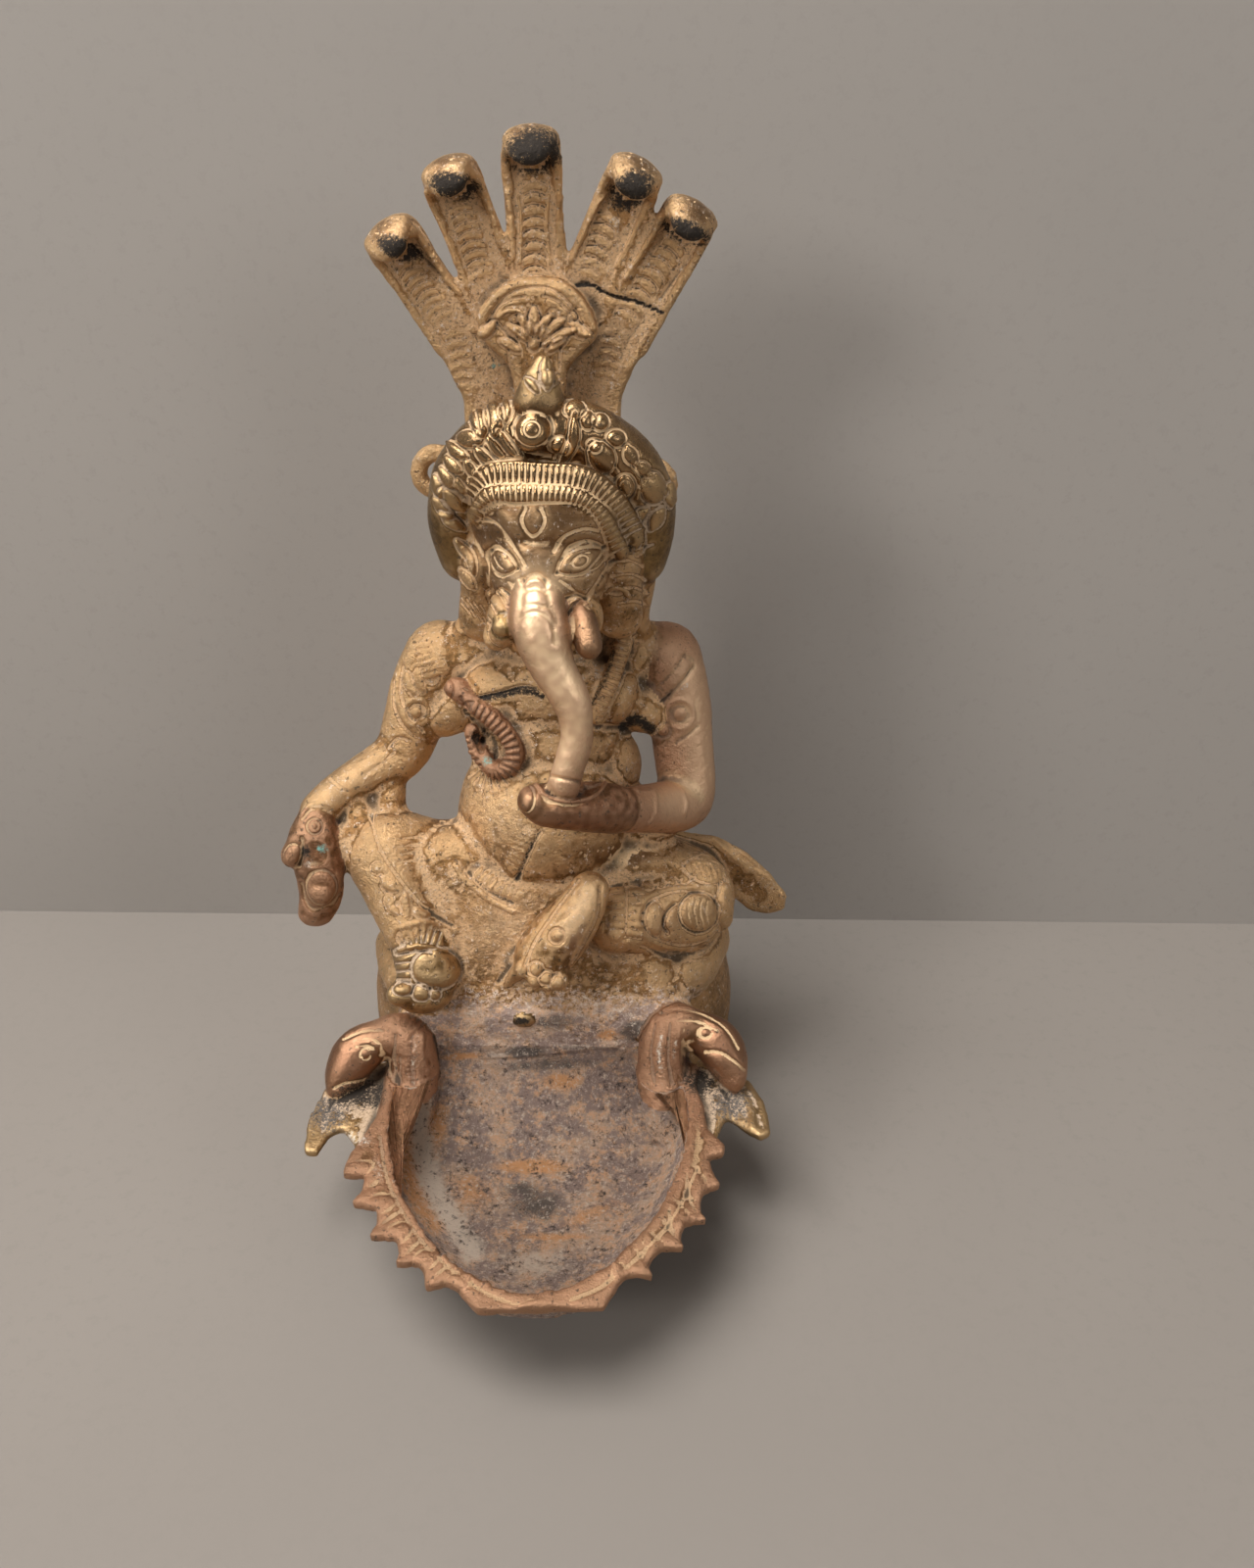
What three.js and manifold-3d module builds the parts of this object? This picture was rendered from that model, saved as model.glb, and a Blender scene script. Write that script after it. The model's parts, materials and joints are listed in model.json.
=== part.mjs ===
// A cast brass oil lamp: an elephant-headed figure sits on a drum-shaped stand under a fan of five
// serpents, and a leaf-shaped oil pan with a jagged border reaches forward from the stand.
// Millimetres, +Z up. The figure faces -Y, and left and right are those of someone who looks at it.
import * as THREE from "three";
import { mergeVertices } from "three/addons/utils/BufferGeometryUtils.js";
import Module from "manifold-3d";

const wasm = await Module();
wasm.setup();

// Clearance left at every brazed or pinned joint
const jointGap = 0.3;

// Stand: a hollow drum, open below
const standHeight = 32;
const standWidth = 84;
const standDepth = 64;
const standBulge = 3;
const standWall = 3;
const standRoof = 3.5;

// Cushion on the stand
const cushionHeight = 13;
const cushionOverhang = 1;

// Lap cloth over the front of the stand
const clothReach = 4.5;
const clothDrop = 4;
const apronHalfWidth = 28;
const apronRise = 20.5;
const fallLeft = -21;
const fallRight = 9;
const waistDrop = 9;
const hemRadius = 6.8;

// Oil pan
const panDrop = 7;
const panDepth = 12.5;
const panWall = 2.4;
const panBackWall = 4.4;
const panFloorThickness = 2.6;
const panHalfWidth = 30;
const panLength = 62;
const panSideLength = 26;
const panTipHalfWidth = 9;
const panFloorInset = 8;
const panOffset = -1.2;
const panLean = 2.5;

// Jagged border of the pan and its wick lip
const borderThickness = 2;
const borderTeeth = 5;
const toothHeight = 4;
const lipHalfWidth = 11.5;
const lipReach = 7.5;
const borderClearance = 0.4;

// Fins below the serpents at the pan's back corners
const finReach = 16;
const finEnd = -31;
const finThickness = 2.2;

// Seated body
const bellyWidth = 39;
const bellyDepth = 34;
const bellyHeight = 42;
const bellyRise = 26;
const bellyForward = 10;
const chestWidth = 40;
const chestDepth = 30;
const chestRise = 26;
const chestBack = 7;
const shoulderHalfWidth = 20.4;
const shoulderSpread = 3.1;
const shoulderSet = [2, 6.8];
const shoulderRadius = 7.4;
const neckRadius = 8.6;

// Head, crown and trunk
const headWidth = 33;
const headDepth = 31;
const headHeight = 30;
const headSet = [2.5, -9, 40];
const faceSet = [-1.5, -9, -7];
const tuskRadius = 2.3;
const trunkRootRadius = 5.7;
const trunkTipRadius = 2.9;
const crestWidth = 35;
const crestRise = 24;
const crestRadius = 5.8;
const crestLean = 9;
const crestDip = 0.42;
const diademRadius = 1.7;
const diademGap = 0.03;
const upperDiadem = { halfWidth: 16.5, rise: 14.5, forward: 10.9, sideShare: 0.35 };
const lowerDiadem = { halfWidth: 13.6, rise: 11, forward: 12.6, sideShare: 0.78 };
const jewelHeight = 13;
const jewelRadius = 5;
const bossRadius = 3.4;

// Serpent hood behind the head
const hoodThickness = 4.6;
const hoodBottomWidth = 29;
const hoodShoulderRise = 63;
const hoodTopRise = 80;
const serpentSpineRadius = 5.2;
const neckPlateThickness = 4.2;
const neckPlateWidth = 10.4;
const neckTenonThickness = 2;
const neckTenonWidth = 5;
const neckTenonLength = 7;
const serpentHeadLength = 9;
const rightSerpentRise = 2.5;
// The five serpents, left to right: the foot and the top of each neck, from the middle of the hood's top
const serpentPlaces = [
  { foot: [-16.2, -9.5], top: [-25.6, 6.2] },
  { foot: [-8.8, -1], top: [-14.6, 16.2] },
  { foot: [0, 2], top: [-0.8, 20.6] },
  { foot: [8.8, -1], top: [16.8, 16] },
  { foot: [15.8, -9.5], top: [26.2, 9.2] },
];
const palmetteWidth = 22.5;
const palmetteHeight = 17.5;
const palmetteThickness = 5.5;

// Limbs: how far each joint lies from the one before it, across, back and up
const upperArmLeft = [-9, -5, -20.5];
const forearmLeft = [-16.6, -12, -5.5];
const upperArmRight = [6, -8, -30];
const forearmRight = [-13, -18, 9.5];
const palmSet = [-8, -7, 5];
const thighLeft = [-35, -9, -1.5];
const shinLeft = [8.5, -13, -14.5];
const thighRight = [30.5, -6, -17.5];
const shinRight = [-16.5, -15, 3.5];
const upperArmRadius = 5.7;
const forearmRadius = 4.4;
const wristRadius = 3.7;
const thighRadius = 11;
const kneeRadius = 8.6;
const foldedKneeRadius = 10.8;
const ankleRadius = 5.6;

// Small dress and fixings
const cordRadius = 1.9;
const ribbonRadius = 4.2;
const ribbonTube = 1.7;
const ribbonLiftLeft = 4;
const ribbonLiftRight = 2;
const sashThickness = 2.4;
const rivetRadius = 1.2;
const rivetHeadRadius = 2.2;
const rivetHeadThickness = 1;
const rivetLength = 9;
const rivetAcross = -4;
const rivetRise = 4.5;

const point = (x, y, z) => new THREE.Vector3(x, y, z);
const from = (base, x, y, z) => base.clone().add(point(x, y, z));
const between = (a, b, share) => a.clone().lerp(b, share);

// Joints of the body, each measured from the one that carries it
const seatTop = standHeight;
const panRimHeight = seatTop - panDrop;
const cushionTop = seatTop + cushionHeight;
const standFront = -standDepth / 2;
const belly = point(0, -bellyForward, cushionTop + bellyRise);
const chest = from(belly, 0, chestBack, chestRise);
const shoulderLeft = from(chest, -shoulderHalfWidth, ...shoulderSet);
const shoulderRight = from(chest, shoulderHalfWidth + shoulderSpread, ...shoulderSet);
const skull = from(chest, ...headSet);
const face = from(skull, ...faceSet);
const hoodFront = skull.y + headDepth / 2 + jointGap;
const hoodMiddle = hoodFront + hoodThickness / 2;
const elbowLeft = from(shoulderLeft, ...upperArmLeft);
const wristLeft = from(elbowLeft, ...forearmLeft);
const elbowRight = from(shoulderRight, ...upperArmRight);
const wristRight = from(elbowRight, ...forearmRight);
const palmRight = from(wristRight, ...palmSet);
const kneeLeft = from(belly, ...thighLeft);
const ankleLeft = from(kneeLeft, ...shinLeft);
const kneeRight = from(belly, ...thighRight);
const ankleRight = from(kneeRight, ...shinRight);

// A closed three.js geometry as a solid
function solidOf(geometry) {
  const bare = geometry.clone();
  bare.deleteAttribute("normal");
  bare.deleteAttribute("uv");
  const merged = mergeVertices(bare, 1e-4);
  const corners = merged.index.array;
  const kept = [];
  for (let i = 0; i < corners.length; i += 3) {
    const [a, b, c] = corners.slice(i, i + 3);
    if (a !== b && b !== c && a !== c) kept.push(a, b, c);
  }
  const mesh = new wasm.Mesh({
    numProp: 3,
    vertProperties: new Float32Array(merged.attributes.position.array),
    triVerts: new Uint32Array(kept),
  });
  return new wasm.Manifold(mesh);
}

const joined = (solids) => solids.reduce((sum, next) => sum.add(next));

// A solid from a geometry that is turned, then moved
function placed(geometry, position, turn = new THREE.Quaternion()) {
  const matrix = new THREE.Matrix4().compose(position, turn, point(1, 1, 1));
  return solidOf(geometry.clone().applyMatrix4(matrix));
}

// An egg-shaped lump with three half axes
function lump(grow, centre, rx, ry, rz, segments = 10) {
  const ball = new THREE.SphereGeometry(1, segments, Math.round(segments * 0.6));
  ball.rotateX(Math.PI / 2);
  ball.scale(rx + grow, ry + grow, rz + grow);
  return placed(ball, centre);
}

// A round bar with ball ends, thick at one end and thin at the other
function taper(grow, start, startRadius, end, endRadius, sides = 8) {
  const length = start.distanceTo(end);
  const profile = [];
  const arcSteps = 2;
  for (let i = 0; i <= arcSteps; i++) {
    const angle = (Math.PI / 2) * (i / arcSteps - 1);
    const radius = startRadius + grow;
    profile.push(new THREE.Vector2(radius * Math.cos(angle), radius * Math.sin(angle)));
  }
  for (let i = 0; i <= arcSteps; i++) {
    const angle = (Math.PI / 2) * (i / arcSteps);
    const radius = endRadius + grow;
    profile.push(new THREE.Vector2(radius * Math.cos(angle), length + radius * Math.sin(angle)));
  }
  profile[0].x = 0;
  profile[profile.length - 1].x = 0;
  const along = end.clone().sub(start).normalize();
  const turn = new THREE.Quaternion().setFromUnitVectors(point(0, 1, 0), along);
  return placed(new THREE.LatheGeometry(profile, sides), start, turn);
}

// A limb through several stations, each a place and a radius
function limb(grow, stations, sides = 8) {
  const bars = [];
  for (let i = 1; i < stations.length; i++) {
    bars.push(taper(grow, ...stations[i - 1], ...stations[i], sides));
  }
  return joined(bars);
}

// A bar of one thickness that follows a smooth curve through its places
function bar(grow, places, radius, sides = 6, steps = 10) {
  const curve = new THREE.CatmullRomCurve3(places);
  const first = places[0].clone().addScaledVector(curve.getTangent(0), -grow);
  const last = places[places.length - 1].clone().addScaledVector(curve.getTangent(1), grow);
  const section = new THREE.Shape();
  for (let i = 0; i < sides; i++) {
    const angle = (2 * Math.PI * i) / sides;
    const x = (radius + grow) * Math.cos(angle);
    const y = (radius + grow) * Math.sin(angle);
    if (i === 0) section.moveTo(x, y);
    else section.lineTo(x, y);
  }
  section.closePath();
  const extrudePath = new THREE.CatmullRomCurve3([first, ...places.slice(1, -1), last]);
  const sweep = new THREE.ExtrudeGeometry(section, { steps, extrudePath });
  return placed(sweep, point(0, 0, 0));
}

// An extrusion between two depths, grown on every side
function extruded(grow, shape, start, end, curveSegments = 6) {
  const plate = new THREE.ExtrudeGeometry(shape, {
    depth: end - start,
    curveSegments,
    bevelEnabled: grow > 0,
    bevelSize: grow,
    bevelThickness: grow,
    bevelSegments: 1,
  });
  return plate.translate(0, 0, start);
}

// Turns a drawing's x and y into the lamp's depth and height
const sideways = new THREE.Matrix4().makeBasis(point(0, 1, 0), point(0, 0, 1), point(1, 0, 0));

// A plate whose outline is drawn in the upright XZ plane, between two places in depth
function uprightPlate(grow, shape, frontY, backY) {
  return placed(extruded(grow, shape, -backY, -frontY).rotateX(Math.PI / 2), point(0, 0, 0));
}

const outline = (corners) => new THREE.Shape(corners.map(([x, y]) => new THREE.Vector2(x, y)));

// The drum's side as a profile, from the foot up, set in by a wall
function drumSide(inset, bottomZ, topZ) {
  const radius = standWidth / 2 - inset;
  const side = new THREE.QuadraticBezierCurve(
    new THREE.Vector2(radius - standBulge / 2, bottomZ),
    new THREE.Vector2(radius + standBulge, (bottomZ + topZ) / 2),
    new THREE.Vector2(radius - standBulge, topZ),
  );
  return side.getPoints(4);
}

function drum(profile, sides = 24) {
  const lathe = new THREE.LatheGeometry(profile, sides);
  lathe.rotateX(Math.PI / 2);
  lathe.scale(1, standDepth / standWidth, 1);
  return placed(lathe, point(0, 0, 0));
}

// Open below: the outer side runs up and the inner side runs down. Grown, it is a closed block.
function stand(grow) {
  const outer = drumSide(-grow, -grow, seatTop + grow);
  if (grow > 0) {
    return drum([new THREE.Vector2(0, -grow), ...outer, new THREE.Vector2(0, seatTop + grow)]);
  }
  const inner = drumSide(standWall, 0, seatTop - standRoof).reverse();
  return drum([
    ...outer,
    new THREE.Vector2(0, seatTop),
    new THREE.Vector2(0, seatTop - standRoof),
    ...inner,
    outer[0].clone(),
  ]);
}

function cushion(grow) {
  const centre = point(0, 0, seatTop + cushionHeight / 2);
  const halfWidth = standWidth / 2 - standBulge + cushionOverhang;
  const halfDepth = (halfWidth * standDepth) / standWidth;
  return lump(grow, centre, halfWidth, halfDepth, cushionHeight * 0.66, 18);
}

// The pan is set slightly to one side and turned a little; its outlines are drawn from its own back edge
const panBack = standFront + standWall;
const panSeat = point(panOffset, panBack, 0);
const panTurn = new THREE.Quaternion().setFromAxisAngle(point(0, 0, 1), THREE.MathUtils.degToRad(panLean));

// A level plate of the pan, between two heights
function panPlate(grow, shape, bottomZ, topZ, curveSegments = 5) {
  return placed(extruded(grow, shape, bottomZ, topZ, curveSegments), panSeat, panTurn);
}

// The leaf-shaped outline, widened or narrowed by an inset
function panOutline(inset, back) {
  const half = panHalfWidth - inset;
  const tip = inset - panLength;
  const tipHalf = Math.max(panTipHalfWidth - inset / 2, 2);
  const bendX = half * 0.94;
  const bendY = (tip - panSideLength) / 2;
  const shape = new THREE.Shape();
  shape.moveTo(-half, back);
  shape.lineTo(-half, -panSideLength);
  shape.quadraticCurveTo(-bendX, bendY, -tipHalf, tip + 1.5);
  shape.quadraticCurveTo(0, tip - 1, tipHalf, tip + 1.5);
  shape.quadraticCurveTo(bendX, bendY, half, -panSideLength);
  shape.lineTo(half, back);
  shape.closePath();
  return shape;
}

// A bowl form: the outline at the top, drawn in towards the floor by a rounded edge
function bowlBlock(rimInset, floorZ, topZ, back) {
  const depth = topZ - floorZ;
  const block = new THREE.ExtrudeGeometry(panOutline(rimInset + panFloorInset, back), {
    depth,
    curveSegments: 5,
    bevelEnabled: true,
    bevelSize: panFloorInset,
    bevelThickness: depth,
    bevelSegments: 3,
  });
  const upper = placed(block, from(panSeat, 0, 0, topZ), panTurn);
  const keep = new THREE.BoxGeometry(4 * standWidth, 4 * standWidth, depth);
  return upper.intersect(solidOf(keep.translate(0, 0, topZ - depth / 2)));
}

function lampPan(grow) {
  const outerFloor = panRimHeight - panDepth - panFloorThickness - grow;
  const outer = bowlBlock(-panWall - grow, outerFloor, panRimHeight, panFloorInset + grow);
  if (grow > 0) return outer;
  const wallFront = -standWall - panBackWall;
  const ledgeTop = seatTop - clothDrop - jointGap;
  const ledgeHalf = panHalfWidth - 1;
  const ledge = outline([
    [-ledgeHalf, wallFront],
    [ledgeHalf, wallFront],
    [ledgeHalf, panFloorInset],
    [-ledgeHalf, panFloorInset],
  ]);
  const innerFloor = outerFloor + panFloorThickness;
  const hollow = bowlBlock(0, innerFloor, panRimHeight + 0.01, wallFront - panFloorInset);
  return outer.subtract(hollow).add(panPlate(0, ledge, panRimHeight - 1, ledgeTop));
}

// The border lies on the pan's rim: a row of pointed teeth on each side and a broad lip at the tip
function borderShape() {
  const side = panHalfWidth + panWall;
  const teethStart = new THREE.Vector2(side + 1, -panSideLength - 4);
  const teethBend = new THREE.Vector2(side + 1.5, (-panLength - panSideLength) / 2 - 4);
  const teethEnd = new THREE.Vector2(lipHalfWidth + 3.5, -panLength - 3);
  const edge = new THREE.QuadraticBezierCurve(teethStart, teethBend, teethEnd);
  const corners = [[side, -standWall - 9], [side + 0.5, -panSideLength]];
  for (let i = 0; i < borderTeeth; i++) {
    const valley = edge.getPoint(i / borderTeeth);
    const peak = edge.getPoint((i + 0.8) / borderTeeth);
    const shrink = 1 - (0.35 * i) / borderTeeth;
    corners.push([valley.x, valley.y]);
    corners.push([peak.x + toothHeight * shrink, peak.y - toothHeight * 0.3]);
  }
  corners.push([lipHalfWidth + 2, -panLength - lipReach * 0.5]);
  corners.push([lipHalfWidth, -panLength - lipReach]);
  const mirrored = corners.map(([x, y]) => [-x, y]).reverse();
  return outline([...corners, ...mirrored]);
}

function panBorder(grow) {
  const bottom = panRimHeight + jointGap;
  const plate = panPlate(grow, borderShape(), bottom, bottom + borderThickness);
  if (grow > 0) return plate;
  return plate.subtract(panPlate(0, panOutline(-borderClearance, standDepth), bottom - 5, bottom + 10));
}

// Each back corner of the pan carries a serpent that rises, arches outwards and dips its head
function sideSerpent(side, rise) {
  return (grow) => {
    const root = from(panSeat, side * (panHalfWidth - 0.5), -10, panRimHeight - 3);
    const bend = from(root, side * 1, 1.5 + rise / 2, 11 + rise);
    const neck = from(bend, side * 7, -1, -1.5);
    const head = from(neck, side * 4, -1.5, -3.5);
    const snout = from(head, side * 1.2, -5, -5.5);
    return limb(
      grow,
      [
        [root, 5],
        [bend, 5],
        [neck, 4.5],
        [head, 4.8],
        [snout, 1.9],
      ],
      6,
    );
  };
}

// A ragged fin that reaches out from the pan's corner under the serpent's head
function cornerFin(side) {
  return (grow) => {
    const rootX = panHalfWidth + panWall - 1;
    const corners = [
      [rootX, -8],
      [rootX + finReach * 0.75, -12],
      [rootX + finReach, -19],
      [rootX + finReach * 0.96, finEnd + 1],
      [rootX + finReach * 0.8, finEnd],
      [rootX + finReach * 0.55, finEnd + 6],
      [rootX + finReach * 0.3, finEnd],
      [rootX, finEnd - 1],
    ];
    const mirrored = side < 0 ? corners.map(([x, y]) => [-x, y]).reverse() : corners;
    const top = panRimHeight - jointGap;
    return panPlate(grow, outline(mirrored), top - finThickness, top);
  };
}

function torso(grow) {
  return joined([
    lump(grow, belly, bellyWidth / 2, bellyDepth / 2, bellyHeight / 2, 14),
    lump(grow, chest, chestWidth / 2, chestDepth / 2, 17, 14),
    limb(grow, [
      [from(shoulderLeft, 4, 0, 0), shoulderRadius],
      [from(shoulderRight, -4, 0, 0), shoulderRadius],
    ]),
    limb(grow, [
      [from(chest, 0.5, 1, 8), neckRadius + 2],
      [from(skull, -1, 6, -16), neckRadius],
    ]),
  ]);
}

// The lap cloth: an apron that slopes from the belly to the pan, a fall of cloth between the legs,
// and a hem that turns round both front corners of the stand
function lapCloth(grow) {
  const foot = seatTop - clothDrop;
  const front = standFront - clothReach;
  const back = belly.y;
  const middle = foot + clothDrop / 2 + apronRise;
  const waist = belly.z - waistDrop;
  const apron = [
    [front, foot],
    [front, foot + 5],
    [front + 1, foot + 12],
    [front + 3.2, foot + 18],
    [front + 5.4, middle],
    [back, middle],
    [back, foot],
  ];
  const fall = [
    [front + 3, foot + 17],
    [front + 5.4, middle],
    [front + 9, waist],
    [back, waist + 3],
    [back, foot + 17],
  ];
  const acrossX = (corners, startX, endX) =>
    placed(extruded(grow, outline(corners), startX, endX).applyMatrix4(sideways), point(0, 0, 0));
  const hemBack = front + hemRadius;
  return joined([
    acrossX(apron, -apronHalfWidth, apronHalfWidth),
    acrossX(fall, fallLeft, fallRight),
    limb(grow, [
      [point(20, hemBack + 1.7, seatTop + 7.5), hemRadius],
      [point(30, hemBack + 7.7, seatTop + 7.5), hemRadius],
      [point(35, hemBack + 17.7, seatTop + 8), hemRadius - 1.2],
    ]),
    limb(grow, [
      [point(-22, hemBack + 2.2, seatTop + 5), hemRadius - 0.8],
      [point(-30, hemBack + 7.7, seatTop + 5), hemRadius - 0.8],
      [point(-34, hemBack + 16.7, seatTop + 6), hemRadius - 1.8],
    ]),
  ]);
}

const legPendant = (grow) =>
  limb(grow, [
    [from(belly, -15, 0, -9), thighRadius],
    [kneeLeft, kneeRadius],
    [between(kneeLeft, ankleLeft, 0.5), kneeRadius - 1.6],
    [ankleLeft, ankleRadius],
  ]);

const legFolded = (grow) =>
  limb(grow, [
    [from(belly, 15, 0, -14), thighRadius],
    [kneeRight, foldedKneeRadius],
    [ankleRight, ankleRadius + 1.2],
  ]);

const footPendant = (grow) =>
  joined([
    lump(grow, from(ankleLeft, 2.2, -2, -5), 6.4, 5.6, 6.2),
    lump(grow, from(ankleLeft, 2.8, -4.5, -9.5), 6.4, 5.4, 6),
    limb(grow, [[from(ankleLeft, 1, -6, -9), 3.6], [from(ankleLeft, -2.5, -9, -8.5), 2.6]]),
  ]);

const footFolded = (grow) =>
  limb(grow, [
    [from(ankleRight, -4.4, -4.5, 10.5), 4.3],
    [from(ankleRight, -9, -8, 4), 5.4],
    [from(ankleRight, -13, -11.5, -2.5), 4.3],
  ]);

const armLeft = (grow) =>
  limb(grow, [
    [shoulderLeft, shoulderRadius],
    [between(shoulderLeft, elbowLeft, 0.72), upperArmRadius],
    [elbowLeft, forearmRadius + 0.6],
    [between(elbowLeft, wristLeft, 0.6), forearmRadius - 0.3],
    [wristLeft, wristRadius],
  ]);

const armRight = (grow) =>
  limb(grow, [
    [shoulderRight, shoulderRadius],
    [between(shoulderRight, elbowRight, 0.55), upperArmRadius],
    [elbowRight, upperArmRadius],
    [between(elbowRight, wristRight, 0.6), forearmRadius + 0.3],
    [wristRight, wristRadius + 0.5],
  ]);

const handLeft = (grow) =>
  joined([
    lump(grow, from(wristLeft, -0.6, -4, -5), 5.2, 4.6, 5.6, 8),
    lump(grow, from(wristLeft, -4.6, -7, -7), 2.8, 2.8, 3.2, 8),
    lump(grow, from(wristLeft, -0.4, -7, -11), 4.8, 4, 7, 8),
    lump(grow, from(wristLeft, -1.6, -8, -19), 4.2, 3.8, 5.4, 8),
  ]);

const handRight = (grow) =>
  joined([
    lump(grow, palmRight, 8.6, 6.6, 5),
    lump(grow, from(palmRight, -7.5, -4, 3.6), 4.2, 4.2, 4, 12),
  ]);

const head = (grow) =>
  joined([
    lump(grow, skull, headWidth / 2, headDepth / 2, headHeight / 2, 12),
    lump(grow, face, 10.5, 9.5, 13.5, 12),
    lump(grow, from(face, -6.5, -3, -8), 4.3, 4.5, 5, 8),
    lump(grow, from(face, 8, -2, -8.5), 4.6, 4.5, 5, 8),
    lump(grow, from(face, 0.5, 2, -12), 7, 7, 5, 8),
  ]);

// The trunk falls from the face and swings to the sweets in the right-hand palm
const trunkRoot = from(face, -0.5, -5.5, -1);
const trunkBend = from(trunkRoot, 6.6, -8, -18.5);
const trunkTip = from(palmRight, -3, -3, 6.5);
const trunk = (grow) =>
  limb(
    grow,
    [
      [trunkRoot, trunkRootRadius],
      [from(trunkRoot, 0.4, -4.5, -5), trunkRootRadius - 0.2],
      [from(trunkRoot, 2.4, -6.5, -11.5), trunkRootRadius - 1.3],
      [trunkBend, trunkTipRadius + 0.6],
      [between(trunkBend, trunkTip, 0.4).add(point(1.2, 0, 0)), trunkTipRadius + 0.4],
      [trunkTip, trunkTipRadius],
    ],
    7,
  );

const tusk = (grow) =>
  limb(grow, [
    [from(face, 6, -7, -6), tuskRadius],
    [from(face, 8.2, -12, -10.5), tuskRadius + 0.3],
  ]);

const tuskStub = (grow) =>
  limb(grow, [
    [from(face, -6.6, -5, -5), tuskRadius - 0.6],
    [from(face, -7.2, -8.5, -7), tuskRadius - 0.4],
  ]);

const earLeft = (grow) => lump(grow, from(skull, -16.8, 6, -15), 4.2, 3.6, 10.5);
const earRight = (grow) => lump(grow, from(skull, 15.8, 6, -17), 4.8, 3.6, 11.5);

// The crest stands round the head like a horseshoe, open below, and leans forward at the top
const crestCentre = from(skull, -0.4, 4, -1);
function crownCrest(grow) {
  const stations = [];
  const steps = 7;
  for (let i = 0; i <= steps; i++) {
    const angle = -crestDip + ((Math.PI + 2 * crestDip) * i) / steps;
    const height = Math.max(Math.sin(angle), 0);
    const x = Math.cos(angle) * (crestWidth / 2);
    const z = Math.sin(angle) * (Math.sin(angle) > 0 ? crestRise - crestRadius : crestWidth / 2);
    stations.push(from(crestCentre, x, -crestLean * height, z));
  }
  return bar(grow, stations, crestRadius, 7, 11);
}

// Each diadem is a bead-ribbed roll that arches over the forehead
function diadem({ halfWidth, rise, forward, sideShare }) {
  return (grow) => {
    const stations = [];
    const steps = 6;
    for (let i = 0; i <= steps; i++) {
      const angle = Math.PI * (diademGap + ((1 - 2 * diademGap) * i) / steps);
      const x = -Math.cos(angle) * halfWidth;
      const z = Math.sin(angle) * rise - 1;
      const y = -forward * (sideShare + (1 - sideShare) * Math.sin(angle));
      stations.push(from(skull, x + 0.8, y, z));
    }
    return bar(grow, stations, diademRadius, 6, 12);
  };
}

const crownTop = crestCentre.z + crestRise;
const crestFront = crestCentre.y - crestLean - crestRadius;
const crownJewel = (grow) => {
  const base = point(skull.x - 1.5, crestFront + 4.8, crownTop + 0.6);
  const tip = from(base, 0.7, 0.6, jewelHeight - jewelRadius * 1.4);
  return limb(grow, [
    [base, jewelRadius],
    [tip, jewelRadius * 0.4],
  ]);
};
const crownBoss = (grow) => {
  const centre = point(skull.x - 2.6, crestFront + bossRadius * 0.3, crownTop - crestRadius * 0.7);
  return lump(grow, centre, bossRadius, bossRadius, bossRadius, 10);
};

function palmette(grow) {
  const half = palmetteWidth / 2;
  const foot = crownTop - 6;
  const spread = crownTop + palmetteHeight * 0.45;
  const top = crownTop + palmetteHeight;
  const shape = outline([
    [-4.5, foot],
    [4.5, foot],
    [5.2, crownTop + 2],
    [half, spread],
    [half * 0.86, spread + (top - spread) * 0.5],
    [half * 0.4, top],
    [-half * 0.4, top],
    [-half * 0.9, spread + (top - spread) * 0.5],
    [-half, spread],
    [-5.2, crownTop + 2],
  ]);
  return uprightPlate(grow, shape, hoodFront - jointGap - palmetteThickness, hoodFront - jointGap);
}

// Heights of the hood
const hoodShoulder = chest.z + hoodShoulderRise;
const hoodTop = chest.z + hoodTopRise;

// A place on the hood, beside and above the foot of a neck, in the neck's own lean
function besideNeck({ foot, top }, across, up) {
  const length = Math.hypot(top[0] - foot[0], top[1] - foot[1]);
  const [ux, uz] = [(top[0] - foot[0]) / length, (top[1] - foot[1]) / length];
  return [foot[0] + uz * across + ux * up, hoodTop + foot[1] - ux * across + uz * up];
}

// The fan of the hood, and the serpent's body that runs down the figure's back to the cushion
function nagaHood(grow) {
  const low = hoodBottomWidth / 2;
  const half = neckPlateWidth / 2;
  const bothSides = (place) => [-1, 1].map((way) => besideNeck(place, way * (half - 1.4), 0.8));
  const shape = outline([
    [-low, chest.z + 4],
    [low, chest.z + 4],
    [low + 0.6, hoodShoulder - 5],
    besideNeck(serpentPlaces[4], half, -1),
    ...serpentPlaces.flatMap(bothSides).reverse(),
    besideNeck(serpentPlaces[0], -half, -1),
    [-low - 0.6, hoodShoulder - 5],
  ]);
  return joined([
    uprightPlate(grow, shape, hoodFront, hoodFront + hoodThickness),
    limb(grow, [
      [point(0, hoodMiddle + 2, hoodShoulder), 2.4],
      [point(0, hoodMiddle + 3, chest.z + 8), serpentSpineRadius],
      [point(0, belly.y + bellyDepth / 2 + 4, belly.z), serpentSpineRadius],
      [point(0, belly.y + bellyDepth / 2 + 5, cushionTop + 1), serpentSpineRadius],
    ]),
  ]);
}

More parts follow.
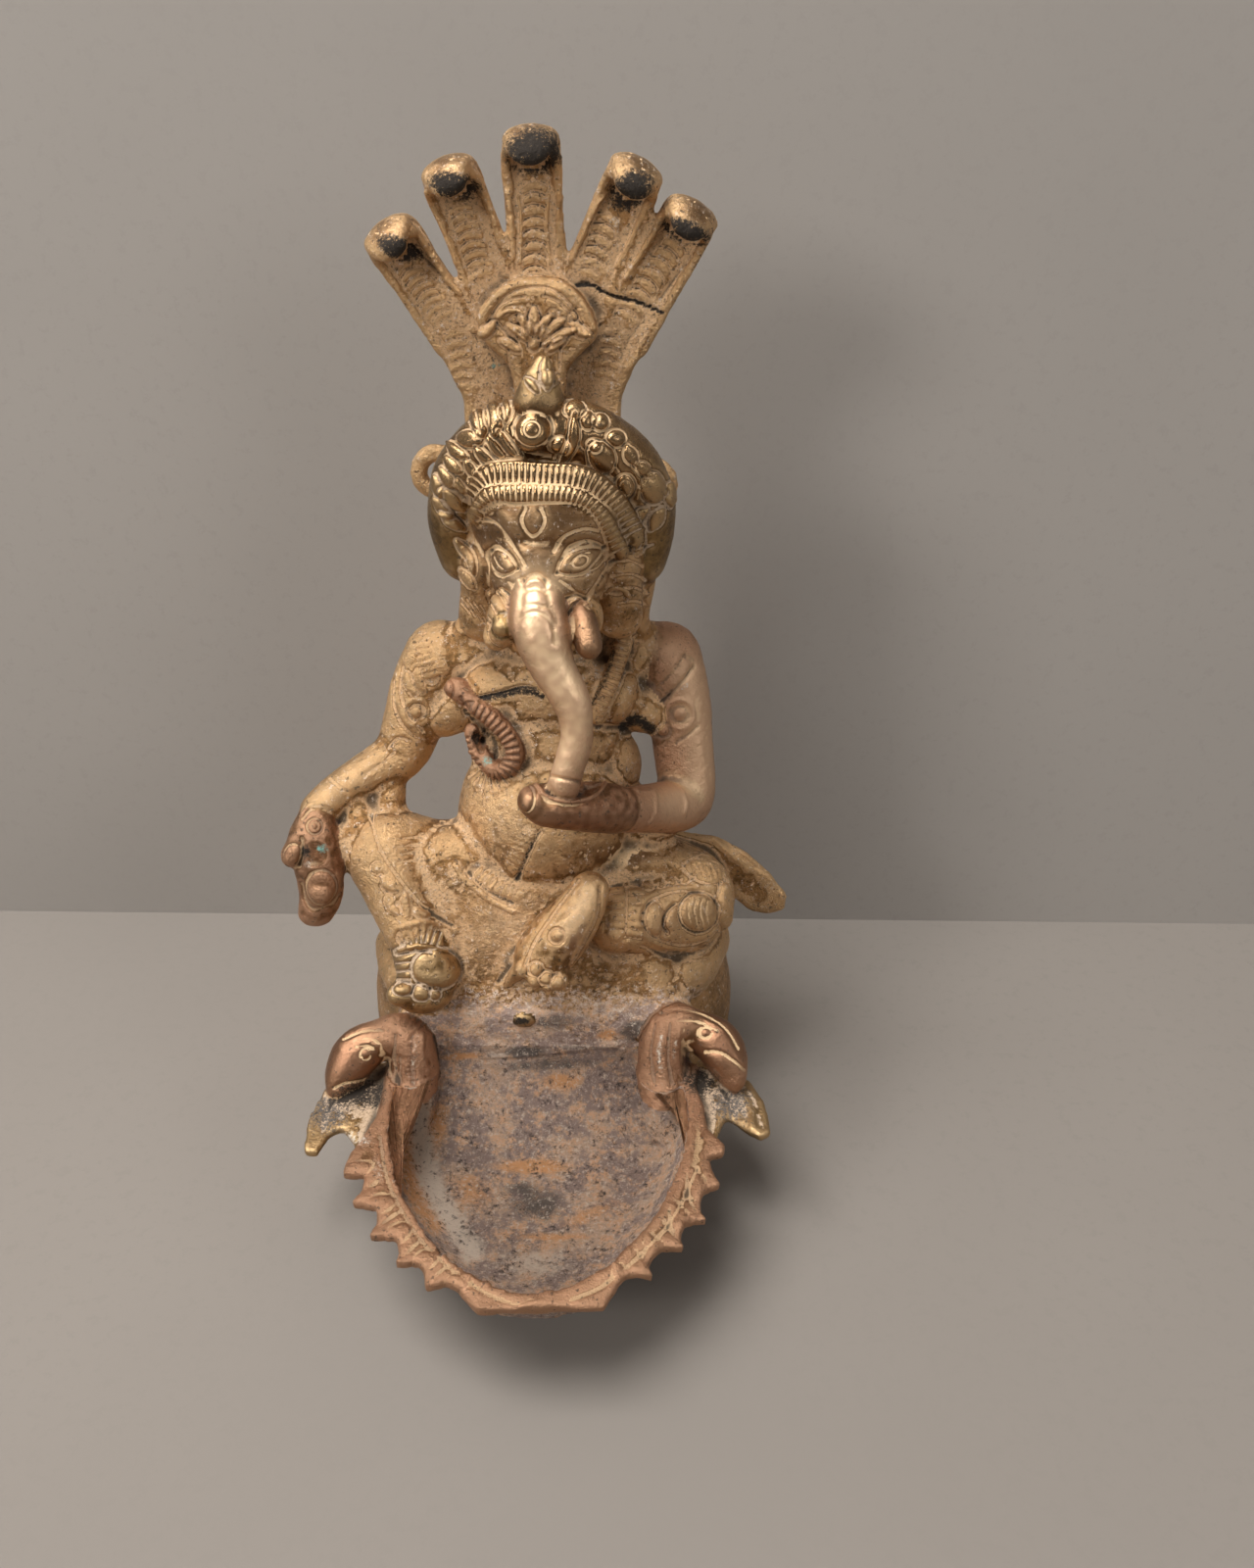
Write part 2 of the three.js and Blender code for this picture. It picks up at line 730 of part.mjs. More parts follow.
// Each neck is a strip with a round top that hooks forward into the head
function nagaHead(place) {
  const foot = point(place.foot[0], hoodMiddle, hoodTop + place.foot[1]);
  const top = point(place.top[0], hoodMiddle, hoodTop + place.top[1]);
  const along = top.clone().sub(foot);
  const lean = new THREE.Quaternion().setFromUnitVectors(point(0, 0, 1), along.clone().normalize());
  const crown = along.length() + neckPlateWidth * 0.45;
  const half = neckPlateWidth / 2;
  const back = neckPlateThickness / 2;
  const front = -back - serpentHeadLength;
  return (grow) => {
    const face = new THREE.Shape();
    face.moveTo(-half, 0);
    face.lineTo(half, 0);
    face.lineTo(half, crown - half);
    face.absarc(0, crown - half, half, 0, Math.PI, false);
    face.closePath();
    const side = outline([
      [-back, 0],
      [back, 0],
      [back, crown - 5.5],
      [back - 1.8, crown - 1.6],
      [back - 5, crown],
      [front + 3, crown - 2],
      [front, crown - 6],
      [front + 0.6, crown - 9],
      [front + 3, crown - 9.6],
      [-back, crown - 7],
    ]);
    const strip = extruded(grow, face, -2 * back, back - front, 5).rotateX(Math.PI / 2);
    const hook = extruded(grow, side, -neckPlateWidth, neckPlateWidth).applyMatrix4(sideways);
    const tenon = new THREE.BoxGeometry(
      neckTenonWidth + 2 * grow,
      neckTenonThickness + 2 * grow,
      neckTenonLength + 2 * grow,
    );
    tenon.translate(0, 0, 0.5 - neckTenonLength / 2);
    return placed(strip, foot, lean)
      .intersect(placed(hook, foot, lean))
      .add(placed(tenon, foot, lean));
  };
}

// A flat curl of ribbon beside the crown, raised above the crest's middle
function ribbon(side, lift) {
  return (grow) => {
    const ring = new THREE.TorusGeometry(ribbonRadius, ribbonTube + grow, 6, 12);
    ring.rotateX(Math.PI / 2);
    const x = side * (hoodBottomWidth / 2 + ribbonRadius + ribbonTube + jointGap);
    return placed(ring, point(x, hoodMiddle, crestCentre.z + lift));
  };
}

// A serpent cord that loops on the chest
const cordLoop = (grow) => {
  const places = [
    [-17.5, -8.5, 5],
    [-13.5, -11.5, 2.5],
    [-9, -14, -0.5],
    [-5.6, -15.4, -4.5],
    [-6.4, -15.8, -8.5],
    [-10.2, -14.6, -10],
    [-13.2, -12.4, -7],
    [-14.6, -11.2, -3],
  ];
  return bar(grow, places.map(([x, y, z]) => from(chest, x, y, z)), cordRadius, 6, 14);
};

const necklaceStrap = (grow) => {
  const places = [from(chest, 16.4, -5.5, 14), from(chest, 13.6, -10.5, 7), from(chest, 11, -13.2, 0.5)];
  return bar(grow, places, cordRadius, 6, 5);
};

function sash(grow) {
  const front = kneeRight.y + kneeRadius - 1;
  const shape = outline([
    [kneeRight.x - 10, kneeRight.z + 4],
    [kneeRight.x + 9, kneeRight.z - 5],
    [kneeRight.x + 15, kneeRight.z - 10.5],
    [kneeRight.x + 23, kneeRight.z - 9.5],
    [kneeRight.x + 22, kneeRight.z - 4],
    [kneeRight.x + 15, kneeRight.z + 4],
    [kneeRight.x + 6, kneeRight.z + 9.5],
    [kneeRight.x - 6, kneeRight.z + 12.5],
  ]);
  return uprightPlate(grow, shape, front, front + sashThickness);
}

// The rivet that pins the lap cloth to the cushion above the pan
function lapRivet(grow) {
  const headFront = standFront - 5.2;
  const height = seatTop + rivetRise;
  const radius = rivetRadius + grow;
  const headRadius = rivetHeadRadius + grow;
  const profile = [
    [0, -grow],
    [headRadius, -grow],
    [headRadius, rivetHeadThickness + grow],
    [radius, rivetHeadThickness + grow],
    [radius, rivetLength + grow],
    [0, rivetLength + grow],
  ].map(([x, y]) => new THREE.Vector2(x, y));
  return placed(new THREE.LatheGeometry(profile, 16), point(rivetAcross, headFront, height));
}

// Every piece in the order it is fitted: a later piece is cut to clear the earlier ones
const brass = { color: 0xa8813f, roughness: 0.42, metalness: 1 };
const darkBrass = { color: 0x6f5426, roughness: 0.4, metalness: 1 };
const copperBrass = { color: 0x9a6240, roughness: 0.36, metalness: 1 };
const burntPan = { color: 0x5f4c42, roughness: 0.7, metalness: 0.7 };
const pieces = [
  ["lap_rivet", lapRivet, darkBrass],
  ["stand", stand, brass],
  ["lap_cloth", lapCloth, brass],
  ["cushion", cushion, brass],
  ["torso", torso, brass],
  ["arm_left", armLeft, copperBrass],
  ["hand_left", handLeft, copperBrass],
  ["arm_right", armRight, copperBrass],
  ["hand_right", handRight, copperBrass],
  ["foot_folded", footFolded, brass],
  ["foot_pendant", footPendant, brass],
  ["leg_pendant", legPendant, brass],
  ["leg_folded", legFolded, brass],
  ["trunk", trunk, copperBrass],
  ["tusk", tusk, copperBrass],
  ["tusk_stub", tuskStub, copperBrass],
  ["head", head, darkBrass],
  ["ear_left", earLeft, brass],
  ["ear_right", earRight, brass],
  ["diadem_upper", diadem(upperDiadem), darkBrass],
  ["diadem_lower", diadem(lowerDiadem), darkBrass],
  ["crown_boss", crownBoss, darkBrass],
  ["crown_jewel", crownJewel, copperBrass],
  ["crown_crest", crownCrest, darkBrass],
  ...serpentPlaces.map((place, i) => ["naga_head_" + (i + 1), nagaHead(place), copperBrass]),
  ["naga_hood", nagaHood, brass],
  ["palmette", palmette, brass],
  ["ribbon_left", ribbon(-1, ribbonLiftLeft), brass],
  ["ribbon_right", ribbon(1, ribbonLiftRight), brass],
  ["cord_loop", cordLoop, copperBrass],
  ["necklace_strap", necklaceStrap, brass],
  ["sash", sash, copperBrass],
  ["side_serpent_left", sideSerpent(-1, 0), copperBrass],
  ["side_serpent_right", sideSerpent(1, rightSerpentRise), copperBrass],
  ["lamp_pan", lampPan, burntPan],
  ["fin_left", cornerFin(-1), copperBrass],
  ["fin_right", cornerFin(1), copperBrass],
  ["pan_border", panBorder, copperBrass],
];

function boxesMeet(a, b) {
  return [0, 1, 2].every((k) => a.min[k] < b.max[k] && b.min[k] < a.max[k]);
}

const lamp = new THREE.Group();
const fitted = [];
for (const [name, make, finish] of pieces) {
  let solid = make(0);
  for (const earlier of fitted) {
    if (boxesMeet(solid.boundingBox(), earlier.boundingBox())) solid = solid.subtract(earlier);
  }
  fitted.push(make(jointGap));
  const { vertProperties, triVerts } = solid.getMesh();
  const geometry = new THREE.BufferGeometry();
  geometry.setAttribute("position", new THREE.BufferAttribute(new Float32Array(vertProperties), 3));
  geometry.setIndex(new THREE.BufferAttribute(new Uint32Array(triVerts), 1));
  geometry.computeVertexNormals();
  const mesh = new THREE.Mesh(geometry, new THREE.MeshStandardMaterial(finish));
  mesh.name = name;
  lamp.add(mesh);
}

// The frame's origin lies under the middle of the whole lamp, on the surface that it stands on
const whole = new THREE.Box3().setFromObject(lamp);
lamp.position.set(-(whole.min.x + whole.max.x) / 2, -(whole.min.y + whole.max.y) / 2, -whole.min.z);

export default lamp;
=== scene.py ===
import json
import math
import bmesh
import bpy
import numpy as np
from mathutils import Euler, Matrix, Vector, noise
from mathutils.bvhtree import BVHTree


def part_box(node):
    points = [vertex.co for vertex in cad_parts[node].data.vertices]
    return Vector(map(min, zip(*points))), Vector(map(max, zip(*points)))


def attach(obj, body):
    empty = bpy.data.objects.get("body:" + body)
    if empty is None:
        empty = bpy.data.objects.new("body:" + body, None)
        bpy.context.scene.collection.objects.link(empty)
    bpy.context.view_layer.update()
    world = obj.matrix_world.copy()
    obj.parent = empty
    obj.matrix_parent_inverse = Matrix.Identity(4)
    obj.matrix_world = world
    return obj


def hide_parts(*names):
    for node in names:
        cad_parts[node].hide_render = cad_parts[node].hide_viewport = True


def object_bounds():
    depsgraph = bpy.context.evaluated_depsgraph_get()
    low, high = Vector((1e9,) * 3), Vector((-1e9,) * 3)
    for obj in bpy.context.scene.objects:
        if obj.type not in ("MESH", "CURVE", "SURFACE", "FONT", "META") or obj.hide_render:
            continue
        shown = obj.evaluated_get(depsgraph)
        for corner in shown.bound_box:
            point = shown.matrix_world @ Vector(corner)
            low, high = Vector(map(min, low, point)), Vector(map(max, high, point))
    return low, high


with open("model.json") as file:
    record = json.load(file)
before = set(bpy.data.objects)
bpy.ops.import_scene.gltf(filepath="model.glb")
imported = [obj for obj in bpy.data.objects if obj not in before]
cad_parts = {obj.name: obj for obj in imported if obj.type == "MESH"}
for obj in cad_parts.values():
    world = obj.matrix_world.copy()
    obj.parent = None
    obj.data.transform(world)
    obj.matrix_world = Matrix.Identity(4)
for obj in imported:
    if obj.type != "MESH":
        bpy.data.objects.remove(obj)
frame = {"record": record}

# A cast brass oil lamp. It is modelled like a wax: every form is a lump, bar or plate of clay,
# the clay is fused and smoothed, ornament is pressed into it, and then it is cut into its pieces.
# Lengths are millimetres, X to the viewer's right, Y away from the viewer, from the stand's axis.
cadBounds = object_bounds()
standLow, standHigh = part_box("stand")
standAxis = (standLow + standHigh) / 2
toFrame = Matrix.Translation((standAxis.x, standAxis.y, 0)) @ Matrix.Scale(0.001, 4)

clayValues = {
    "grain": 0.5,
    "smoothing": 5,
}

# camera
cameraValues = {
    "place": (17, -250, 220),
    "tiltDown": 30.5,
    "roll": 0.6,
    "lens": 38,
    "sensor": 36,
    "imageSize": (1280, 1600),
}
photoWidth, photoHeight = cameraValues["imageSize"]
focusPixels = cameraValues["lens"] / cameraValues["sensor"] * photoWidth
cameraTurn = Matrix.Rotation(math.radians(90 - cameraValues["tiltDown"]), 3, "X") @ Matrix.Rotation(
    math.radians(cameraValues["roll"]), 3, "Z")


def viewRay(u, v):
    across, up = (u - photoWidth / 2) / focusPixels, (photoHeight / 2 - v) / focusPixels
    direction = cameraTurn @ Vector((across, up, -1))
    return Vector(cameraValues["place"]), direction.normalized()


def atDepth(u, v, y, *radii):
    # the point of the view ray through a pixel that lies at a depth y, as a station of a bar
    start, way = viewRay(u, v)
    return (*(start + way * ((y - start.y) / way.y)), *radii)


# tools that add clay to a piece
clay = {}


def lumpOf(node):
    if node not in clay:
        clay[node] = bmesh.new()
    return clay[node]


def degrees(turn):
    return Euler([math.radians(a) for a in turn])


def ballPoints(detail):
    ball = bmesh.new()
    bmesh.ops.create_icosphere(ball, subdivisions=detail, radius=1)
    points = [v.co.copy() for v in ball.verts]
    ball.free()
    return points


roughBall = ballPoints(3)


def lump(node, place, radii, turn=(0, 0, 0)):
    matrix = Matrix.LocRotScale(Vector(place), degrees(turn), Vector(radii))
    bmesh.ops.create_icosphere(lumpOf(node), subdivisions=4, radius=1, matrix=matrix)


def stationRadii(station):
    return tuple(station[3:6]) if len(station) >= 6 else (station[3],) * 3


def spline(path, steps):
    if len(path) < 3:
        return np.array(path, float)
    rows = np.array([path[0], *path, path[-1]], float)
    out = []
    for i in range(1, len(rows) - 2):
        a, b, c, d = rows[i - 1:i + 3]
        for step in range(steps):
            t = step / steps
            out.append(0.5 * (2 * b + (c - a) * t + (2 * a - 5 * b + 4 * c - d) * t * t
                              + (3 * b - a - 3 * c + d) * t ** 3))
    return np.array(out + [rows[-2]])


def smoothPath(stations, steps):
    return spline([tuple(station[:3]) + stationRadii(station) for station in stations], steps)


def limb(node, *stations, steps=3, turn=(0, 0, 0)):
    bm = lumpOf(node)
    spin = degrees(turn)
    path = smoothPath(stations, steps)
    for first, last in zip(path, path[1:]):
        corners = []
        for station in (first, last):
            matrix = Matrix.LocRotScale(Vector(station[:3]), spin, Vector(station[3:6]))
            corners += [bm.verts.new(matrix @ p) for p in roughBall]
        hullOf(bm, corners)


def quilt(node, *rows):
    bm = lumpOf(node)
    for upper, lower in zip(rows, rows[1:]):
        for corners in zip(upper, upper[1:], lower, lower[1:]):
            points = [bm.verts.new(Vector(place[:3]) + p * place[3]) for place in corners for p in roughBall]
            hullOf(bm, points)


def hullOf(bm, corners):
    made = bmesh.ops.convex_hull(bm, input=corners, use_existing_faces=False)
    spare = [v for v in made["geom_interior"] + made["geom_unused"] if isinstance(v, bmesh.types.BMVert)]
    bmesh.ops.delete(bm, geom=list({v for v in spare if v.is_valid}), context="VERTS")


def newVertices(made):
    return [v for v in made["geom"] if isinstance(v, bmesh.types.BMVert)]


def slab(outline, thickness, low=0):
    bm = bmesh.new()
    face = bm.faces.new([bm.verts.new((x, y, low)) for x, y in outline])
    grown = bmesh.ops.extrude_face_region(bm, geom=[face])
    bmesh.ops.translate(bm, verts=newVertices(grown), vec=(0, 0, thickness))
    bmesh.ops.recalc_face_normals(bm, faces=bm.faces)
    return bm


def plate(node, outline, thickness, place=(0, 0, 0), turn=(90, 0, 0), bevel=0.6):
    bm = slab(outline, thickness)
    bmesh.ops.bevel(bm, geom=bm.edges[:], offset=bevel, segments=2, profile=0.5, affect="EDGES", material=-1)
    matrix = Matrix.LocRotScale(Vector(place), degrees(turn), None)
    bmesh.ops.transform(bm, matrix=matrix, verts=bm.verts)
    addTo(node, bm)


def addTo(node, bm):
    bmesh.ops.triangulate(bm, faces=bm.faces)
    mesh = bpy.data.meshes.new(node)
    bm.to_mesh(mesh)
    bm.free()
    lumpOf(node).from_mesh(mesh)
    bpy.data.meshes.remove(mesh)


def lathe(profile, squash, steps=96):
    bm = bmesh.new()
    verts = [bm.verts.new((r, 0, z)) for r, z in profile]
    edges = [bm.edges.new(pair) for pair in zip(verts, verts[1:])]
    bmesh.ops.spin(bm, geom=verts + edges, axis=(0, 0, 1), cent=(0, 0, 0), angle=math.tau, steps=steps,
                   use_merge=True)
    bmesh.ops.remove_doubles(bm, verts=bm.verts, dist=0.001)
    bmesh.ops.recalc_face_normals(bm, faces=bm.faces)
    bmesh.ops.scale(bm, vec=(1, squash, 1), verts=bm.verts)
    return bm


def arcs(start, middle, end, count):
    ring = []
    for i in range(count + 1):
        t = i / count
        ring.append(tuple((1 - t) ** 2 * a + 2 * t * (1 - t) * b + t * t * c
                          for a, b, c in zip(start, middle, end)))
    return ring


# stand and cushion
standValues = {"halfWidth": 42, "squash": 64 / 84, "height": 32, "bulge": 3, "wall": 3, "roof": 3.5,
               "coreInset": 0.8, "coreTop": 1.4, "hollowLow": -4}


def drumProfile(inset, low, high, count=10):
    s = standValues
    side = arcs((s["halfWidth"] - s["bulge"] / 2 - inset, low),
                (s["halfWidth"] + s["bulge"] - inset, s["height"] / 2),
                (s["halfWidth"] - s["bulge"] - inset, high), count)
    return [(0, low)] + side + [(0, high)]


def modelStand():
    addTo("stand", lathe(drumProfile(0, 0, standValues["height"], 12), standValues["squash"]))


cushionValues = {"halfWidth": 39.8, "squash": 64 / 84, "low": 31, "high": 46.4}


def modelCushion():
    c = cushionValues
    w, low, high = c["halfWidth"], c["low"], c["high"]
    side = arcs((w - 5, low), (w + 4.5, (low + high) / 2), (w - 8, high), 10)
    addTo("cushion", lathe([(0, low)] + side + [(0, high + 0.6)], c["squash"]))


# lap cloth
clothValues = {"foot": 28.3, "ledgeThickness": 5.4}


def modelLapCloth():
    c = clothValues
    # the apron that falls from under the belly to the pan
    quilt("lap_cloth", [(-19, -20, 61, 8), (-8, -20, 59, 8), (4, -20.5, 58, 8), (17, -18, 57, 8)],
          [(-20, -23.5, 53, 7.6), (-8, -23, 52, 8), (5, -23.5, 51, 8), (18, -23, 50, 8)],
          [(-21, -27, 45, 7.4), (-8, -26, 44.5, 7.6), (6, -26.4, 44, 7.6), (21, -26, 43.5, 7.2)],
          [(-22, -29.2, 37, 6.8), (-8, -29.4, 36.5, 6.8), (7, -29.6, 36.5, 6.8), (23, -28.6, 37, 7)],
          [(-26, -31, 33, 5.2), (-8, -31, 33, 5.2), (7, -31, 33, 5.2), (27, -31, 33, 5.2)])
    # cloth that hangs from the left thigh beside the shin
    quilt("lap_cloth", [(-14, -17, 66, 7), (-24, -20, 66, 6)], [(-17, -22, 57, 7), (-25, -25, 57, 6)],
          [(-18, -24, 52, 7), (-22, -28.5, 50, 5.6)])
    # the fold beside the folded foot
    limb("lap_cloth", (4, -33, 61, 3), (-1, -34.4, 55, 2.8), (-5, -33.2, 48, 2.2), (-9, -31.4, 40, 1.6),
         steps=3)
    # the front of the seat that it covers, to the left and to the right
    limb("lap_cloth", (20, -28, 39, 6.4, 6.4, 7.4), (30, -22, 39.5, 6.4, 6.4, 7.2), (35, -12, 40, 5.4, 6, 6.6),
         steps=4)
    limb("lap_cloth", (-22, -27.5, 37, 6), (-30, -22, 37, 6), (-34, -13, 38, 5), steps=3)
    # the sloping ledge above the pan
    plate("lap_cloth", [(-30, -24), (29, -24), (28.5, -36), (-30.5, -36)], c["ledgeThickness"],
          place=(0, 0, c["foot"]), turn=(0, 0, 0), bevel=1.6)
    limb("lap_cloth", (-27, -32, 32, 4, 3.6, 3), (26, -32, 32, 4, 3.6, 3), steps=1)


# body
def modelTorso():
    lump("torso", (0, -10, 70.5), (19, 17, 20.5))
    lump("torso", (0.5, -5, 86), (16.8, 14, 16))
    lump("torso", (0.5, -3, 97.5), (19, 13.2, 13.5))
    limb("torso", (-15.5, -1, 104.3, 7.4), (19.5, -1, 104.3, 7.4), steps=1)
    limb("torso", (0.5, -2.5, 105, 12, 9, 8), (1.5, -6, 120, 10, 8.5, 8), steps=1)
    # breasts
    lump("torso", (-8.5, -8.8, 99.5), (8.4, 6.6, 7))
    lump("torso", (11, -8.8, 99.5), (8.4, 6.4, 7))
    # armpits that the founder left full
    limb("torso", (-14, -5, 97, 6.5), (-21, -5, 92.6, 5.4), steps=2)
    limb("torso", (15, -5, 97, 6.5), (21.5, -5.5, 94.4, 5.6), steps=2)
    lump("torso", (13.6, -8, 82), (6.4, 6, 9))
    limb("torso", (12, -11, 72, 8), (22, -11, 71, 6.4), steps=1)


def modelLegs():
    limb("leg_pendant", (-14, -12, 60, 10), (-24, -15.4, 63, 8.2), (-33, -19, 67.8, 8.4),
         (-30.6, -24.4, 62.5, 7.4), (-27.2, -30, 56, 6), steps=4)
    limb("leg_folded", (12, -12, 60, 10.5), (21, -13.5, 57.6, 10.4), (30.3, -16, 53.8, 10.4),
         (24, -22.6, 54.5, 8.8), (15.5, -28.8, 57, 6.8), steps=4)
    limb("leg_pendant", (-35, -17.5, 70, 6), (-42, -20, 70, 4), steps=2)
    limb("foot_pendant", (-25.6, -32.2, 52.5, 5.6), (-23.4, -35, 47.4, 6.4, 5.6, 5.8), steps=2)
    lump("foot_pendant", (-24.6, -36.8, 44.6), (6.3, 4.8, 5))
    limb("foot_pendant", (-26, -37.8, 45.4, 3.4), (-29, -39.8, 46, 2.6), steps=1)
    limb("foot_folded", (9.9, -34, 68.2, 3.9), (7.6, -35.6, 64.2, 5), (4, -36.8, 59.2, 6), (0.6, -38, 55, 6),
         steps=3)
    for x, y, z in [(-3.4, -43, 55.2), (-0.9, -43.9, 53.4), (1.8, -43.8, 52.4), (4.4, -43, 52.4)]:
        lump("foot_folded", (x, y, z), (1.5, 1.8, 2))


def modelArms():
    limb("arm_left", (-21.6, -1, 103.2, 7.8), (-25.8, -2.5, 96, 6.9), (-28.4, -4.4, 88.6, 6.3),
         (-31, -6.6, 83.4, 5.6), (-37.4, -11.4, 80.8, 4.9), (-43, -15.6, 78.6, 4.2),
         (-46.4, -18.4, 76.6, 3.9), steps=3)
    # the web that the founder left between the forearm and the thigh
    limb("arm_left", (-33.5, -9.5, 80, 4), (-34, -13.5, 73.5, 4.6), steps=1)
    limb("arm_left", (-40, -14.5, 77.6, 3.6), (-38, -17, 72.6, 4), steps=1)
    limb("arm_right", (24.4, -1, 103.4, 7.9), (27.2, -3, 96, 7), (28.4, -5.4, 87.5, 6.5), (29.6, -8.5, 78, 6.2),
         (28.8, -11, 74.8, 5.9), (23.5, -18, 77.8, 5.2), (16.5, -27, 82.6, 4.7), steps=4)
    limb("hand_left", (-46.6, -20.4, 75, 4), (-47, -22.8, 71.6, 5.2, 4.6, 4.8), (-46.2, -24.4, 66, 5, 4, 4.8),
         (-46.2, -25.2, 60.6, 4.6, 3.8, 4), (-47.6, -26, 56.2, 3.8, 3.2, 3), steps=3)
    limb("hand_left", (-48.4, -23.4, 73, 3.1), (-51, -25.4, 69.8, 2.4), steps=2)
    lump("hand_left", (-45.6, -28, 61.4), (2.8, 2.2, 3.4))
    limb("hand_right", (14.4, -29.4, 84.4, 5), (9, -33.2, 87.2, 5.8, 6, 4.6), (2.6, -36.8, 89.6, 5.4, 5.2, 4),
         steps=3)
    lump("hand_right", (-0.2, -37.8, 91), (3.4, 3.6, 3.2))


# head
def modelHead():
    lump("head", (2.8, -11.5, 138), (15.5, 14.5, 14))
    lump("head", (3.2, -17.6, 141), (12.4, 10.2, 9.4))
    lump("head", (2.2, -19.2, 130.5), (11, 10, 12))
    lump("head", (1.4, -22.6, 124.4), (8.6, 8.2, 7))
    # cheeks, which hold the tusks
    lump("head", (-5.5, -25.2, 122.4), (3.6, 4.6, 5))
    lump("head", (8.4, -25.2, 123), (4, 4.6, 4.8))
    lump("head", (-7.2, -26.4, 119.6), (2.7, 2.8, 2.8))
    lump("head", (1.5, -19, 117.5), (7.4, 7.4, 5))
    # jaws that run back to the ears
    limb("head", (-9.6, -14, 129, 5), (-11.2, -11.6, 117, 5), steps=2)
    limb("head", (14.4, -14.4, 130, 5), (14.8, -11.6, 118, 5), steps=2)
    limb("trunk", (0.5, -22.6, 133, 3), (0.6, -26, 128.6, 4.7), (0.9, -30.6, 124, 5.2), (2.9, -33, 117.5, 4.2),
         (6.6, -34.5, 110.8, 3.5), (7.8, -35.4, 104.4, 3.1), (6.4, -36.6, 98.6, 3), (5.3, -37, 94.6, 3.2),
         steps=4)
    limb("tusk", (8, -27.4, 125.2, 2.1), (9.2, -30, 122.7, 2.5), (10, -32.2, 120.4, 2.4), steps=3)
    limb("tusk_stub", (-5.4, -26.5, 124.6, 1.9), (-5.8, -29.4, 122.8, 2), steps=1)
    limb("ear_left", (-13, -8, 133, 3.8), (-12.4, -6.4, 124, 3.8), (-12.4, -4, 115, 3.6, 3.4, 3.4),
         (-15.4, -2, 109, 4), steps=3)
    limb("ear_right", (18.2, -8, 133, 3.8), (18, -6.4, 123, 4.2), (17.2, -4, 113, 4), (19.6, -2, 108, 4),
         steps=3)


def crestArc(angle, grow=0):
    c = crestValues
    high = max(math.sin(angle), 0)
    rise = c["rise"] if math.sin(angle) > 0 else c["halfWidth"]
    return (c["centre"][0] + math.cos(angle) * (c["halfWidth"] + grow), c["centre"][1] - c["lean"] * high,
            c["centre"][2] + math.sin(angle) * (rise + grow))


crestValues = {"centre": (2.3, -8, 136), "halfWidth": 17.8, "rise": 19.4, "lean": 8.6, "radius": 5.8}


# the ribbed bands over the forehead, as pixels of the photograph and the depths of their ends and middle
diademRolls = {
    "diadem_upper": {"path": [(477, 506), (494, 487), (521, 483), (558, 484), (591, 488), (614, 499),
                              (633, 520),
                              (648, 547)], "sideY": -13, "middleY": -24, "radii": (1.8, 1.7, 2.3)},
    "diadem_lower": {"path": [(485, 526), (496, 508), (521, 504), (558, 504), (588, 508), (608, 521),
                              (623, 541),
                              (634, 562)], "sideY": -17, "middleY": -26, "radii": (1.6, 1.4, 1.7)},
}


def modelCrown():
    stations = [crestArc(-0.42 + (math.pi + 0.84) * i / 14) + (crestValues["radius"],) for i in range(15)]
    limb("crown_crest", *stations, steps=2)
    for node, roll in diademRolls.items():
        count = len(roll["path"]) - 1
        places = []
        for i, (u, v) in enumerate(roll["path"]):
            swing = math.sin(math.pi * (i + 0.6) / (count + 1.2))
            places.append(atDepth(u, v, roll["sideY"] + (roll["middleY"] - roll["sideY"]) * swing,
                                  *roll["radii"]))
        limb(node, *places, steps=3)
    lump("crown_boss", (-0.1, -21.6, 155.8), (3.3, 3.3, 3.3))
    limb("crown_jewel", (1, -18.4, 160.4, 4.6, 4, 3.4), (1.3, -18.2, 163.4, 3.4, 3, 3),
         (1.7, -17.6, 167.2, 1.2), steps=4)


# serpent hood
hoodValues = {"thickness": 4.4, "middle": 6.1}
serpents = [
    {"foot": (-16.2, 167.5), "top": (-25.6, 182.8)},
    {"foot": (-8.8, 176), "top": (-14.8, 193)},
    {"foot": (0, 179), "top": (-0.9, 198)},
    {"foot": (9, 176), "top": (16.8, 193.2)},
    {"foot": (16, 167.5), "top": (26.6, 186.6)},
]


